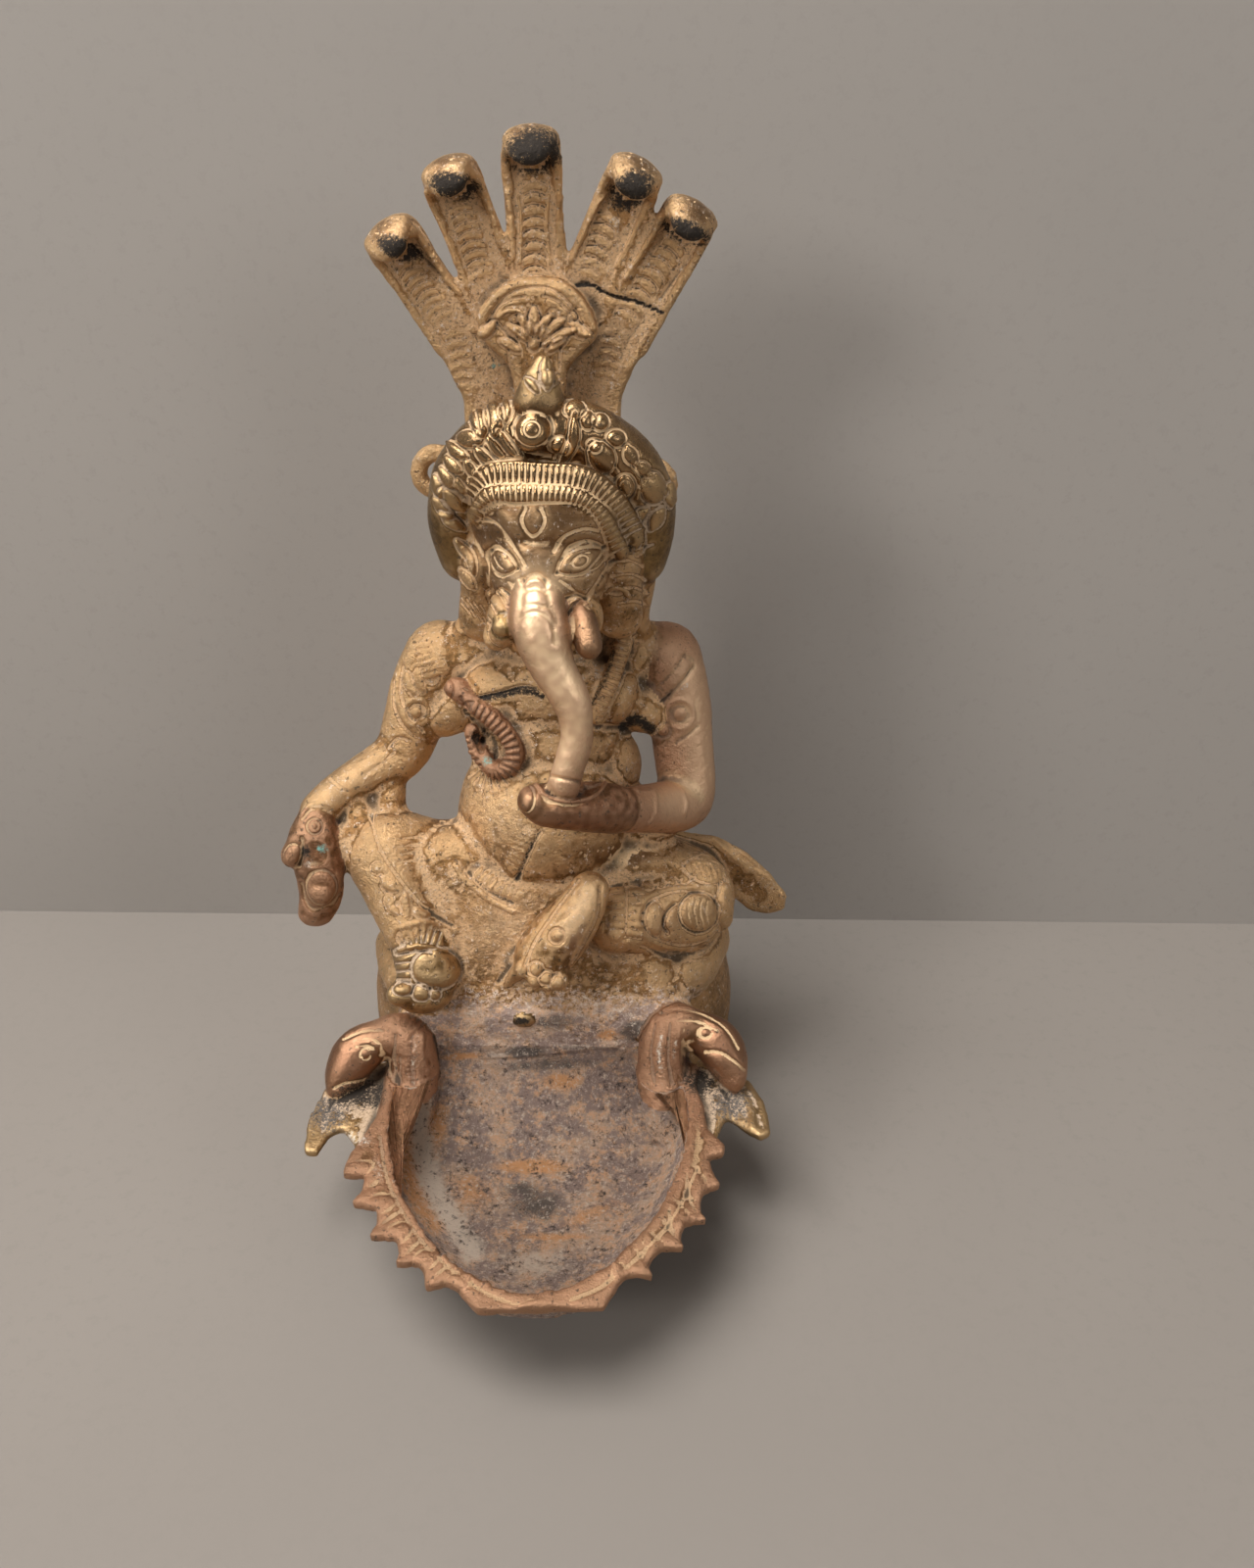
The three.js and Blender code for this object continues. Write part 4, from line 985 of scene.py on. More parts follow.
pressAll(["head", "diadem_lower"], {
    "line": (line, ([(490, 522), (505, 512), (525, 515), (560, 513), (588, 515), (604, 524), (616, 545),
        (620, 560)], 2.2, -0.3)),
})

# strokes of the face
pressAll("head", {
    "lines": (line, ([(494, 518), (508, 518), (524, 540), (534, 562)], 8, 0.55), ([(494, 530), (506, 534),
        (516, 546), (524, 558), (531, 568), (535, 577)], 2.9, -0.35),
        ([(566, 562), (573, 551), (584, 544), (598, 540), (611, 542)], 2.9, -0.35),
        ([(499, 562), (508, 558), (518, 567), (527, 581)], 3.0, -0.4),
        ([(499, 562), (500, 576), (505, 586), (514, 588), (527, 581)], 2.6, -0.4),
        ([(503, 565), (509, 576), (516, 583)], 2.2, -0.25),
        ([(568, 585), (573, 572), (579, 562), (589, 556), (602, 553), (618, 560)], 3.2, -0.4),
        ([(569, 586), (586, 587), (598, 583), (607, 574), (618, 561)], 2.6, -0.4),
        ([(582, 575), (588, 567), (600, 564)], 1.9, -0.2), ([(536, 519), (532, 530), (536, 541), (543, 547),
        (551, 543), (556, 531), (552, 519)], 2.8, -0.3)),
    "lumps": (dome, ((512, 574), (15, 10), 0.35, 42), ((594, 573), (24, 12), 0.35, -22)),
    "ring": (ring, ((592, 573), (8, 5), 1.3, -0.3, -30)),
})
face = ["head", "trunk"]
pressAll(face, {
    "lines": (line, ([(533, 594), (540, 588), (548, 586), (554, 590), (558, 598)], 2.5, -0.35),
        ([(535, 602), (546, 599), (557, 603)], 2.5, -0.35), ([(531, 596), (548, 593), (559, 599)], 3, 0.35),
        ([(532, 619), (546, 617), (560, 619)], 2.3, -0.22),
        ([(530, 630), (545, 624), (559, 630), (566, 642)], 2.3, -0.28),
        ([(533, 592), (531, 612), (528, 634)], 3.5, -0.35, 0.4),
        ([(557, 592), (561, 612), (566, 630), (567, 655)], 3.2, -0.35, 0.4),
        ([(553, 619), (560, 618), (568, 627), (570, 636)], 2.3, -0.3)),
})
pressAll("head", {
    "lines": (line, ([(570, 640), (572, 628), (578, 618), (587, 613), (598, 617)], 3.4, 0.7),
        ([(576, 640), (578, 630), (584, 622), (592, 620)], 2.3, -0.4),
        ([(567, 640), (568, 626), (575, 613), (587, 608), (600, 611)], 2.5, -0.35),
        ([(640, 562), (620, 580), (608, 598), (598, 612)], 2.9, -0.35),
        ([(512, 590), (524, 600), (527, 616)], 2.9, -0.2), ([(572, 592), (586, 603), (596, 610)], 2.9, -0.2)),
    "lumps": (dome, ((583, 629), (5, 4), -0.5, 0, 2, 1), ((512, 648), (14, 11), 0.5, 30),
        ((520, 640), (6, 5), 0.3)),
    "leaves": (leaf, ((500, 606), (517, 632), 7, 0.7, -3), ((511, 603), (523, 634), 4, 0.8, -4)),
})
pressAll("tusk_stub", {"lump": (dome, ((528, 649), (5, 6), -0.8, 0, 2, 0.4))})
pressAll(["tusk_stub", "head"], {"ring": (ring, ((528, 649), (7, 8), 1.5, 0.3))})
sides = ["head", "ear_left", "ear_right", "crown_crest", "torso", "naga_hood"]
pressAll(sides, {
    "lumps": (dome, ((643, 558), (9, 8), -0.9, 0, 2, 0.2), ((629, 606), (8, 4), -0.5)),
    "lines": (line, ([(633, 563), (650, 560), (667, 556)], 1.6, -0.3),
        ([(612, 610), (622, 601), (636, 602), (642, 608)], 2, 0.4)),
    "leaves": (leaf, ((455, 528), (474, 540), 5, 0.7), ((466, 552), (484, 586), 5, 0.6, -4),
        ((470, 582), (484, 600), 5, 0.5), ((656, 548), (650, 566), 5, 0.5)),
})
pressAll(sides, {
    "left ear's ribs": (line, *(([(462 + k * 7, 606 + k * 3), (478 + k * 7, 626 + k * 4)], 1.6, -0.22)
                                for k in range(5))),
    "right ear's ribs": (line, *(([(622 + k * 3, 574 + k * 14), (642 + k * 3, 572 + k * 14),
                                   (656 + k * 3, 578 + k * 14)], 1.6, -0.2) for k in range(4))),
})

# strokes of the serpent hood
hoodEnd = ["naga_hood", "naga_head_1", "naga_head_2", "naga_head_3", "naga_head_4", "naga_head_5"]
pressAll(hoodEnd[:2], {
    "neck 1 scales": (scales, ([(412, 268), (434, 300), (455, 330)], 12, 9, 0.42, 4)),
    "neck 1 groove": (line, ([(420, 250), (450, 282)], 2, -0.4)),
    "neck 1 rim": (line, ([(430, 245), (452, 280), (470, 300)], 2, 0.4)),
})
neckStrokes = {
    "naga_head_1": {
        "dome": ((398, 236), (34, 26)), "hollow": ((408, 254), (24, 12), 1.5, 20),
    },
    "naga_head_2": {
        "scales": ([(468, 208), (480, 244), (492, 284)], 12, 10, 0.42, 4),
        "rims": (([(434, 196), (442, 214), (454, 238), (466, 268)], 2, 0.4),
                 ([(488, 184), (503, 222), (510, 250)], 2, 0.4)),
        "dome": ((460, 168), (36, 28)), "hollow": ((464, 190), (27, 14), 1.5, 10),
    },
    "naga_head_3": {
        "scales": ([(546, 184), (546, 284)], 12, 12.5, 0.48),
        "rims": (([(529, 200), (532, 225), (531, 268)], 1.8, 0.4),
                 ([(560, 200), (558, 230), (562, 268)], 1.8, 0.4),
                 ([(519, 196), (522, 228), (524, 262)], 2, 0.3),
                 ([(571, 196), (569, 228), (571, 262)], 2, 0.3)),
        "dome": ((543, 140), (38, 34)), "hollow": ((545, 154), (30, 24), 1.6),
    },
    "naga_head_4": {
        "scales": ([(622, 218), (612, 246), (600, 282)], 12, 12, 0.45, 4),
        "rims": (([(624, 190), (610, 208), (598, 232), (584, 264)], 2, 0.4),
                 ([(661, 204), (648, 236), (630, 272)], 2, 0.4)),
        "dome": ((652, 168), (34, 28)), "hollow": ((644, 194), (26, 18), 1.5, -35),
    },
    "naga_head_5": {
        "scales": ([(692, 246), (666, 282), (638, 326)], 12, 12.5, 0.48, 4),
        "rims": (([(704, 262), (690, 282), (672, 308)], 2, -0.35),
                 ([(668, 238), (652, 262), (638, 284)], 2, 0.4)),
        "dome": ((712, 214), (36, 28)), "hollow": ((700, 236), (27, 12), 1.5, 20),
    },
}
for node, neck in neckStrokes.items():
    pressAll(node, {
        "dome's brown": (smear, ("brown", *neck["dome"], 0.8)),
        "hollow's shade": (smear, ("dark", *neck["hollow"])),
        "rims": (line, *neck.get("rims", ())),
    })
    if "scales" in neck:
        pressAll(["naga_hood", node], {"scales": (scales, neck["scales"])})
pressAll("naga_head_4", {"pitted band": (smear, ("pale", (628, 226), (16, 12), 0.8, 30))})
pressAll(hoodEnd, {
    "crack": (line, ([(588, 292), (596, 288), (605, 291), (613, 297), (620, 300), (630, 305), (650, 308),
        (664, 313), (676, 319)], 1.1, -0.8, 0)),
    "crack's shade": (streak, ("dark", [(588, 292), (605, 291), (620, 300), (650, 308), (676, 319)], 2)),
})
pressAll("naga_hood", {
    "right double rim": (line, ([(662, 318), (650, 335), (640, 350), (633, 368)], 1.5, -0.4)),
    "right edge band": (line, ([(675, 322), (656, 354), (641, 378)], 3, 0.4)),
    "left double rim": (line, ([(430, 324), (442, 340), (452, 354), (459, 372)], 1.5, -0.4)),
    "left edge band": (line, ([(420, 330), (436, 360), (450, 384)], 3, 0.4)),
})
pressAll("naga_hood", {
    "lower scales": (scales, ([(462, 336), (470, 372), (474, 400)], 11, 11, 0.35, 4),
        ([(628, 334), (620, 366), (616, 392)], 11, 11, 0.35, 4)),
})

# strokes of the palmette and jewel
palmetteArch = [(484, 337), (491, 321), (505, 304), (521, 291), (540, 284), (560, 284), (575, 292), (590, 305),
                (600, 320), (606, 335)]
pressAll(["palmette", "naga_hood"], {"canopy rim": (line, (palmetteArch, 3.6, 0.55))})
pressAll("palmette", {
    "canopy groove": (line, ([(495, 336), (502, 319), (514, 304), (529, 295), (545, 292), (562, 294),
                              (577, 306), (588, 321), (596, 338)], 1.9, -0.5)),
    "left inner arch": (line, ([(500, 330), (508, 314), (520, 306), (536, 303)], 1.6, -0.35)),
    "right inner arch": (line, ([(554, 302), (568, 306), (580, 318), (590, 334)], 1.6, -0.35)),
    "left scroll": (line, ([(508, 324), (518, 317), (530, 318), (536, 326)], 1.6, 0.45)),
    "petals": (leaf, ((540, 348), (518, 332), 5, 0.7, 2, 1), ((541, 345), (529, 322), 5, 0.75, 2, 1),
        ((545, 342), (545, 314), 6, 0.8, 0, 1), ((549, 344), (562, 322), 5, 0.75, -2, 1),
        ((551, 348), (576, 326), 5, 0.7, -2, 1), ((554, 352), (588, 336), 5, 0.6, -2)),
    "dark leaf": (line, ([(505, 327), (516, 340), (527, 350)], 2.2, -0.5)),
    "left lobe": (leaf, ((486, 344), (505, 328), 6, 0.6, 2)),
    "right lobe": (leaf, ((602, 342), (584, 330), 6, 0.6, -2)),
    "left fan": (leaf, ((530, 358), (510, 347), 5, 0.6, 1, 1)),
    "right fan": (leaf, ((560, 358), (578, 345), 5, 0.6, -1, 1)),
    "curls": (ring, ((564, 320), 5, 1.3, -0.35), ((585, 323), 5, 1.3, -0.35), ((526, 327), 5, 1.3, -0.35)),
    "heart": (dome, ((545, 350), (6, 8), 0.6)),
    "left stem": (line, ([(519, 356), (519, 376)], 1.6, -0.35)),
    "right stem": (line, ([(572, 354), (572, 374)], 1.6, -0.35)),
})
pressAll(["palmette", "naga_hood", "head"], {"verdigris": (smear, ("green", (507, 372), (9, 8), 0.9))})
pressAll("crown_jewel", {
    "jewel's petal": (leaf, ((559, 396), (558, 364), 7, 0.4, 0, 1)),
    "jewel's body": (dome, ((561, 386), (10, 8), 0.3)),
})
pressAll(["crown_jewel", "crown_crest"], {"jewel's left petal": (leaf, ((549, 400), (536, 386), 4, 0.5, 1))})
pressAll("ribbon_left", {"left ribbon's ring": (ring, ((441, 452), 13, 1.6, -0.35))})
pressAll("ribbon_right", {"right ribbon's ring": (ring, ((636, 421), 13, 1.6, -0.35))})

# strokes of the chest, belly and arms
chest = ["torso", "cord_loop"]
pressAll(chest, {
    "cord": (ribs, ([(480, 724), (497, 733), (511, 746), (521, 762), (521, 782), (510, 796), (495, 798),
                     (484, 789), (479, 774)], 9, 6.6, 0.55)),
    "cord's left strand": (ribs, ([(479, 776), (475, 760), (466, 746), (452, 738)], 6, 6, 0.4, 0.4)),
    "cord's neck": (line, ([(470, 712), (478, 730), (492, 742), (504, 756), (506, 772)], 1.8, -0.7, 0.2)),
    "cord's hollow": (dome, ((489, 758), (7, 13), -0.9, -15)),
    "cord's shade": (smear, ("dark", (487, 752), (9, 10), 0.9)),
    "cord's verdigris": (smear, ("green", (497, 777), (10, 9))),
})
pressAll("cord_loop", {
    "cord's head": (dome, ((448, 703), 14, 0.5)),
    "cord's mouth": (line, ([(437, 708), (446, 713), (456, 710)], 1.4, -0.35)),
    "cord's copper": (smear, ("copper", (448, 704), (15, 13), 0.9)),
})
pressAll(["torso", "arm_left", "cord_loop"], {
    "shoulder cord": (ribs, ([(429, 648), (433, 668), (441, 692)], 8, 6.5, 0.45)),
})
pressAll("torso", {
    "breast crease": (line, ([(484, 713), (497, 710), (516, 706), (534, 701), (552, 705),
        (570, 718)], 2.2, -0.9, 0.3)),
    "breast shade": (streak, ("dark", [(476, 716), (506, 711), (534, 705), (560, 712)], 4, 0.8)),
    "plain band": (line, ([(655, 664), (646, 694), (636, 724), (624, 756)], 6, 0.4)),
    "chest dust": (smear, ("pale", (612, 690), (16, 34), 0.7, 8)),
    "belly crease": (line, ([(554, 846), (545, 860), (537, 878), (531, 891), (524, 906)], 2.2, -0.6, 0.1)),
    "belly crease's shade": (streak, ("dark", [(550, 850), (538, 872), (527, 896)], 3, 0.5)),
    "belly ribs": (ribs, ([(540, 850), (532, 868), (522, 886)], 9, 6, 0.4)),
})
pressAll(["torso", "necklace_strap"], {
    "strap": (ribs, ([(637, 650), (631, 672), (624, 694), (614, 716), (606, 738)], 8, 6.2, 0.5)),
    "strap's edge": (line, ([(647, 652), (641, 676), (633, 700), (623, 722), (612, 742)], 1.6, -0.4)),
    "strap's shade": (streak, ("dark", [(626, 664), (618, 692), (606, 716), (598, 740)], 4, 0.5)),
})
pressAll(["torso", "head"], {"neck dust": (smear, ("pale", (614, 640), (18, 14), 0.6))})
pressAll(["torso", "arm_right"], {
    "armpit dust": (smear, ("pale", (644, 782), (14, 20), 0.7)),
    "armpit shade": (streak, ("dark", [(636, 740), (650, 734), (664, 744)], 6)),
})
# painted shadow of the right hand on the belly, laid on with the brown stain
pressAll(["torso", "leg_folded"], {"belly recess": (smear, ("brown", (630, 872), (60, 18), 0.9, 8))})
pressAll(["torso", "lap_cloth"], {
    "belly hem": (ribs, ([(486, 888), (504, 902), (526, 912)], 8, 6.5, 0.45)),
    "hem groove": (line, ([(478, 890), (498, 909), (524, 922)], 1.7, -0.5)),
})
pressAll(["torso", "lap_cloth", "leg_pendant"], {
    "hem line": (line, ([(464, 882), (474, 896), (497, 916), (524, 931)], 1.7, 0.6)),
})
pressAll(["torso", "leg_pendant"], {
    "belly's left edge": (line, ([(451, 838), (457, 860), (464, 882)], 2, -0.45)),
})
pressAll(["torso", "leg_pendant", "arm_left"], {
    "belly dust": (smear, ("pale", (440, 824), (34, 14), 0.75, 10)),
})
pressAll("arm_right", {
    "armlet's lower line": (line, ([(709, 680), (698, 694), (684, 708), (669, 722)], 2, -0.6)),
    "armlet's upper line": (line, ([(700, 666), (690, 682), (675, 698)], 1.5, -0.4)),
    "armlet": (ribs, ([(703, 674), (691, 690), (675, 708)], 7, 5, 0.4)),
    "rosette": (dome, ((694, 729), (6, 7), 0.5)),
    "rosette's ring": (ring, ((694, 729), (14, 15), 1.6, 0.4)),
    "bead": (dome, ((677, 745), 7, 0.6)),
    "lower line": (line, ([(713, 741), (703, 750), (690, 758)], 1.5, -0.5)),
    "chip": (smear, ("pale", (699, 701), (4, 8), 1, 40)),
    "bracelet": (line, ([(697, 809), (701, 820), (699, 830)], 1.2, 0.35)),
})
pressAll("arm_left", {
    "armlet's inner line": (line, ([(411, 680), (408, 704), (416, 728), (431, 747)], 1.8, -0.5)),
    "armlet's outer line": (line, ([(402, 694), (402, 720), (412, 742), (425, 753)], 1.6, -0.45)),
    "armlet's band": (line, ([(406, 688), (405, 712), (414, 735), (428, 750)], 1.6, 0.4)),
    "rosette": (dome, ((425, 727), 6, 0.5)),
    "rosette's ring": (ring, ((425, 727), 13, 1.6, 0.4)),
    "leaves": (leaf, ((414, 686), (424, 708), 5, 0.5, 2), ((426, 684), (432, 706), 5, 0.5, 2)),
    "elbow's ring": (line, ([(398, 762), (406, 753), (419, 757)], 1.6, -0.5)),
    "forearm's line": (line, ([(402, 768), (388, 780), (372, 791)], 1.3, -0.35)),
})
pressAll(["arm_left", "hand_left"], {
    "left bracelets": (line, ([(333, 796), (342, 804), (352, 811)], 1.4, 0.4),
        ([(340, 793), (349, 801), (358, 806)], 1.4, 0.4)),
    "left bracelet's groove": (line, ([(337, 795), (345, 802), (355, 808)], 1.1, -0.35)),
    "left wrist": (line, ([(308, 831), (315, 822), (327, 819), (341, 825)], 1.6, 0.4)),
})
pressAll("hand_left", {
    "wrist's groove": (line, ([(308, 836), (316, 827), (327, 824), (341, 830)], 1.4, -0.35)),
    "ring": (ring, ((321, 843), 8, 1.4, -0.4)),
    "bead": (dome, ((321, 843), 3, 0.3)),
    "thumb": (dome, ((298, 874), (9, 12), 0.5, 20)),
    "thumb's shade": (line, ([(308, 856), (308, 868), (305, 884)], 2.4, -0.7, 0.2)),
    "palm": (dome, ((322, 872), (13, 14), -0.6, 0, 2, 0.5)),
    "palm's shade": (smear, ("dark", (312, 870), (7, 9), 0.8)),
    "palm's verdigris": (smear, ("green", (329, 866), (11, 8))),
    "palm's dust": (smear, ("pale", (316, 882), (12, 8), 0.8)),
    "finger": (dome, ((328, 906), (15, 17), 0.6, 0, 3)),
    "finger's end": (line, ([(307, 902), (311, 920), (321, 929), (338, 925), (349, 912)], 2, -0.6, 0.2)),
    "side": (line, ([(347, 838), (353, 858), (353, 884), (349, 904)], 1.6, -0.35)),
})
pressAll("hand_right", {
    "knob": (dome, ((536, 815), (9, 14), 0.35)),
    "palm": (dome, ((584, 806), (30, 9), -1.2, -3)),
    "rim": (line, ([(546, 800), (558, 812), (574, 818), (598, 816), (612, 807), (618, 798)], 2, 0.5)),
    "palm's dust": (smear, ("pale", (584, 808), (20, 7), 0.4)),
    # painted shade along the right hand's lower edge, laid on with the brown stain
    "brown": (streak, ("brown", [(536, 824), (570, 834), (612, 842), (650, 846)], 14, 1.4)),
})
pressAll(["hand_right", "trunk"], {
    "right palm's edge": (line, ([(560, 792), (580, 796), (598, 799), (612, 799)], 1.8, -0.5)),
})
pressAll(["arm_right", "hand_right"], {
    "right bracelet": (line, ([(668, 806), (670, 820), (667, 834), (661, 842)], 1.3, 0.4)),
    "right cuff": (line, ([(640, 798), (654, 808), (668, 806)], 1.6, 0.35)),
})
# the pan's left inner wall: ochre and pale ash, painted lighter than the ash alone as painted light on a wall
# that lies in the pillar's shade
pressAll("lamp_pan", {
    "pan's ochre wall": (streak, ("copper", [(404, 1100), (414, 1150), (424, 1200), (446, 1240)], 20, 1.2)),
    "pan's pale wall": (streak, ("pale", [(424, 1104), (430, 1160), (442, 1214), (482, 1276)], 16, 1.1)),
})
pressAll("pan_border", {
    "brown": (streak, ("brown", [(376, 1170), (400, 1236), (446, 1290), (552, 1334), (640, 1290), (704, 1220),
        (716, 1160)], 20, 0.45)),
})
pressAll("tusk", {"tusk's brown": (smear, ("brown", (602, 650), (30, 40), 0.9))})
pressAll(["hand_right", "arm_right"], {"right hand's copper": (smear, ("copper", (600, 838), (70, 26), 0.9))})

# strokes of the legs, feet and sash
shin = ["leg_pendant", "foot_pendant"]
pressAll(["leg_pendant", "lap_cloth"], {
    "dhoti edge": (line, ([(379, 832), (383, 852), (392, 874), (410, 900), (436, 928), (464, 946)], 2, -0.5)),
})
pressAll("leg_pendant", {
    "ring": (ring, ((385, 886), 7, 1.3, -0.35)),
    "leaves": (leaf, ((392, 896), (404, 908), 6, 0.5, 2), ((396, 912), (404, 932), 5, 0.5, 2),
        ((414, 912), (418, 936), 5, 0.5, 2), ((424, 928), (440, 932), 5, 0.5, 2)),
    "zigzag": (line, ([(392, 908), (398, 914), (396, 926), (406, 922), (412, 930)], 1.3, -0.4)),
    "grey patch": (smear, ("soot", (410, 914), (20, 12), 0.7, 45)),
    "thigh's grey patch": (smear, ("soot", (452, 884), (30, 8), 0.45, -8)),
})
pressAll(shin, {
    "anklet": (ribs, ([(411, 957), (430, 952), (452, 957)], 9, 6.4, 0.5)),
    "anklet's upper line": (line, ([(408, 947), (430, 941), (454, 947)], 1.5, 0.5)),
    "anklet's lower line": (line, ([(406, 971), (428, 965), (456, 970)], 1.6, 0.5)),
    "anklet's groove": (line, ([(404, 976), (426, 971), (440, 972)], 1.8, -0.5)),
})
pressAll("foot_pendant", {
    "foot's side ribs": (ribs, ([(408, 974), (410, 1000)], 9, 8.5, 0.5)),
    "toes": (dome, ((411, 1009), (10, 7), 0.8), ((430, 1013), 9, 0.7), ((444, 1014), (6, 7), 0.5)),
})
pressAll(["foot_pendant", "leg_pendant", "lap_cloth"], {"instep": (dome, ((446, 989), (25, 20), 0.8, 0, 3))})
pressAll("foot_folded", {
    "folded foot's ring": (ring, ((568, 955), 8, 1.5, -0.45)),
    "folded foot's bead": (dome, ((568, 955), 4, 0.3)),
    "folded foot's copper": (smear, ("copper", (586, 960), (15, 18), 0.9, 30)),
})
pressAll(["lap_cloth", "foot_folded"], {
    "foot's left edge": (line, ([(590, 898), (568, 926), (546, 960), (536, 985)], 2.4, -0.5)),
})
pressAll(["lap_cloth", "foot_folded", "leg_folded"], {
    "foot's right edge": (line, ([(613, 905), (611, 935), (598, 962), (586, 984)], 2.2, -0.6)),
})
pressAll(["foot_folded", "lap_cloth"], {
    "folded toes": (dome, ((547, 989), 7, 0.6), ((557, 998), 7, 0.6), ((569, 1003), (7, 8), 0.6)),
})
pressAll("lap_cloth", {
    "fold's ridge": (line, ([(556, 936), (534, 978), (518, 1004)], 3, 0.5)),
    "fold's groove": (line, ([(548, 936), (526, 976), (508, 1002)], 2, -0.5)),
})
pressAll("leg_folded", {
    "knee bands": (ribs, ([(628, 904), (630, 925), (629, 952)], 8, 7.4, 0.6),
        ([(649, 904), (651, 928), (647, 962)], 8, 9, 0.5)),
    "knee band's left line": (line, ([(618, 904), (620, 928), (618, 952)], 1.4, -0.45)),
    "knee band's right line": (line, ([(639, 905), (640, 930), (638, 958)], 1.4, -0.5)),
    "spiral's middle": (dome, ((714, 931), (19, 20), 0.9, 0, 3)),
    "spiral's ring": (ring, ((714, 931), (21, 22), 1.8, -0.4)),
    "spiral's outer ring": (ring, ((697, 937), (41, 28), 1.7, -0.4)),
    "spiral's rim": (ring, ((697, 937), (46, 32), 1.5, 0.4)),
    "spiral's slit": (line, ([(690, 922), (682, 930), (678, 942), (682, 953)], 2.1, -0.9, 0.2)),
    "spiral's lump": (dome, ((668, 938), (9, 18), 0.6)),
    "spiral's copper": (smear, ("copper", (676, 944), (22, 18), 0.8)),
    "knee's side": (dome, ((741, 926), (8, 29), 0.8, 0, 3)),
    "knee's side line": (line, ([(751, 903), (756, 925), (749, 955)], 1.4, 0.4)),
    "knee's scallop": (dome, ((722, 889), (23, 11), 0.5, 15, 3)),
    "knee's arcs": (line, ([(702, 879), (718, 871), (738, 880), (749, 894)], 1.4, -0.35),
        ([(708, 869), (730, 869), (747, 884)], 1.3, -0.3)),
})
pressAll(["leg_folded", "lap_cloth", "cushion"], {
    "knee's deposit": (smear, ("pale", (716, 996), (16, 20), 0.6)),
})
pressAll("sash", {
    "sash's recess": (line, ([(724, 846), (746, 864), (768, 882), (783, 888)], 2.4, -0.5)),
    "sash's second line": (line, ([(728, 855), (748, 874), (762, 888)], 1.6, 0.4)),
    "sash's edge": (line, ([(726, 838), (752, 851), (778, 872), (794, 894), (800, 914)], 3, 0.5)),
    "sash's dust": (smear, ("pale", (786, 906), (15, 12), 0.7)),
})
pressAll("leg_folded", {
    "knee's ribs": (line, *(([(704 + 6 * k, 917), (701 + 6 * k, 930), (706 + 6 * k, 946)], 1.1, -0.3)
                            for k in range(4))),
    "thigh's zigzag": (line, *(([(653 + 12 * k, 902 - 2 * k), (663 + 12 * k, 908 - 2 * k),
                                 (672 + 12 * k, 901 - 2 * k)], 1.3, -0.35) for k in range(4))),
    "knee's comb": (line, *(([(706 + 6 * k, 881 + k), (711 + 6 * k, 894 + k)], 1.2, -0.4) for k in range(6))),
})
pressAll(["leg_folded", "lap_cloth"], {
    "hem's folds": (line, *(([(646 + 8 * k, 962 + 4 * k), (672 + 8 * k, 972 + 3 * k),
                              (700 + 8 * k, 970 + 3 * k)],
                             1.3, -0.2) for k in range(4))),
})
pressAll("leg_pendant", {
    "thigh's folds": (line, *(([(406, 856 + 8 * k), (430, 854 + 8 * k), (452, 861 + 8 * k)], 1.2, -0.22)
                              for k in range(4))),
})

# where the metal is dark brown and where it is worn bright or carries a painted sheen; the brown of the crown
# and face is set darker than bare bronze, as a painted dark reflection of the room
headParts = ["head", "crown_crest", "crown_boss", "crown_jewel", "diadem_upper", "diadem_lower", "ear_left",
             "ear_right"]
pressAll(headParts, {
    "crown's brown": (smear, ("brown", (560, 470), (120, 70), 1.3)),
    "face's brown": (smear, ("brown", (548, 560), (86, 70), 1.2)),
})
pressAll(["arm_left", "hand_left"], {
    "left arm's brown": (streak, ("brown", [(372, 780), (330, 810), (300, 860), (330, 920)], 26, 0.5)),
})
pressAll("leg_pendant", {"brown": (streak, ("brown", [(392, 840), (412, 890), (440, 940)], 24, 0.45))})
pressAll("torso", {
    "belly's brown": (smear, ("brown", (540, 850), (54, 40), 0.45)),
    "rubbed belly": (smear, ("rubbed", (510, 836), (36, 44), 0.3)),
})
# a painted sheen down the right arm's outer side, laid on with the worn-bright stain
pressAll("arm_right", {
    "arm's sheen": (streak, ("rubbed", [(706, 690), (716, 740), (718, 790), (690, 816)], 26, 0.9)),
})
pressAll(["leg_folded", "lap_cloth"], {"seat's brown": (smear, ("brown", (740, 950), (30, 70), 0.4))})
pressAll("leg_folded", {"knee's brown": (smear, ("brown", (710, 930), (40, 34), 0.6))})
pressAll(["trunk", "head"], {
    "rubbed trunk": (streak, ("rubbed", [(546, 600), (546, 618), (552, 650), (575, 700)], 22, 1.4)),
    "rubbed trunk's end": (streak, ("rubbed", [(575, 700), (590, 730), (574, 772), (560, 790)], 24, 1.1)),
})
pressAll(["torso", "arm_right"], {"rubbed shoulder": (smear, ("rubbed", (676, 660), (40, 18), 0.5, 30))})
pressAll(["foot_folded"], {"rubbed foot": (streak, ("rubbed", [(602, 912), (580, 950)], 12, 0.6))})
pressAll(["lap_cloth", "leg_folded"], {"rubbed apron": (smear, ("rubbed", (520, 950), (60, 44), 0.5))})

